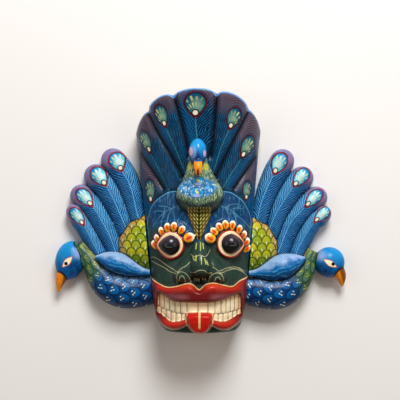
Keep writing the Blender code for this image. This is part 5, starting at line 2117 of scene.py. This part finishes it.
class MASK_OT_set_stage(bpy.types.Operator):
    """Sets up the floor, the light and the camera"""

    bl_idname = "mask.set_stage"
    bl_label = "Set Stage"

    def execute(self, context):
        look, scene = context.scene.mask_stage, context.scene
        bm = bmesh.new()
        bmesh.ops.create_grid(
            bm, x_segments=1, y_segments=1, size=FLOOR_HALF, matrix=Matrix.Translation((0, 0, FLOOR_Z))
        )
        floor = object_of(mesh_of(bm), "floor")
        material, nodes, shader = new_paint("floor_plaster", 0.0)
        tone = nodes.mix(nodes.noise(0.004, 3.0), look.floor, tuple(0.96 * value for value in look.floor))
        nodes.feed(shader.inputs["Base Color"], tone)
        nodes.feed(shader.inputs["Roughness"], nodes.noise(0.02) * 0.1 + 0.8)
        floor.data.materials.append(material)
        for name, place, size, share in LAMPS:
            lamp = bpy.data.lights.new(name, "AREA")
            lamp.energy = look.key_power * share
            lamp.size = size
            thing = bpy.data.objects.new(name, lamp)
            scene.collection.objects.link(thing)
            thing.location = place
            thing.rotation_euler = (-Vector(place)).to_track_quat("-Z", "Y").to_euler()
        scene.world = bpy.data.worlds.new("room")
        scene.world.use_nodes = True
        background = scene.world.node_tree.nodes["Background"]
        background.inputs["Color"].default_value = ROOM_TINT
        background.inputs["Strength"].default_value = look.room_light
        scene.view_settings.view_transform = "Standard"
        lens = bpy.data.cameras.new("camera")
        lens.lens = CAMERA_LENS
        lens.sensor_width = CAMERA_SENSOR
        camera = bpy.data.objects.new("camera", lens)
        camera.location = CAMERA_PLACE
        scene.collection.objects.link(camera)
        scene.camera = camera
        return {"FINISHED"}


class MASK_PT_panel(bpy.types.Panel):
    """Sidebar panel with the mask's steps, sizes and paints"""

    bl_idname = "MASK_PT_panel"
    bl_label = "Raksha Mask"
    bl_space_type = "VIEW_3D"
    bl_region_type = "UI"
    bl_category = "Raksha Mask"

    def draw(self, context):
        for step in STEPS:
            self.layout.operator(step.bl_idname)
        for settings in (context.scene.mask_sizes, context.scene.mask_stage, context.scene.mask_paints):
            for name in settings.__annotations__:
                self.layout.prop(settings, name)


STEPS = (MASK_OT_carve_block, MASK_OT_carve_peacocks, MASK_OT_set_stage)
CLASSES = (MaskSizes, MaskPaints, StageLook, *STEPS, MASK_PT_panel)


def register():
    for kind in CLASSES:
        bpy.utils.register_class(kind)
    bpy.types.Scene.mask_sizes = PointerProperty(type=MaskSizes)
    bpy.types.Scene.mask_paints = PointerProperty(type=MaskPaints)
    bpy.types.Scene.mask_stage = PointerProperty(type=StageLook)


def unregister():
    for name in ("mask_sizes", "mask_paints", "mask_stage"):
        delattr(bpy.types.Scene, name)
    for kind in reversed(CLASSES):
        bpy.utils.unregister_class(kind)


def main():
    register()
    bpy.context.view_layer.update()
    make_shared_paints()
    bpy.ops.mask.carve_block()
    bpy.ops.mask.carve_peacocks()
    bpy.ops.mask.set_stage()


if __name__ == "__main__":
    main()
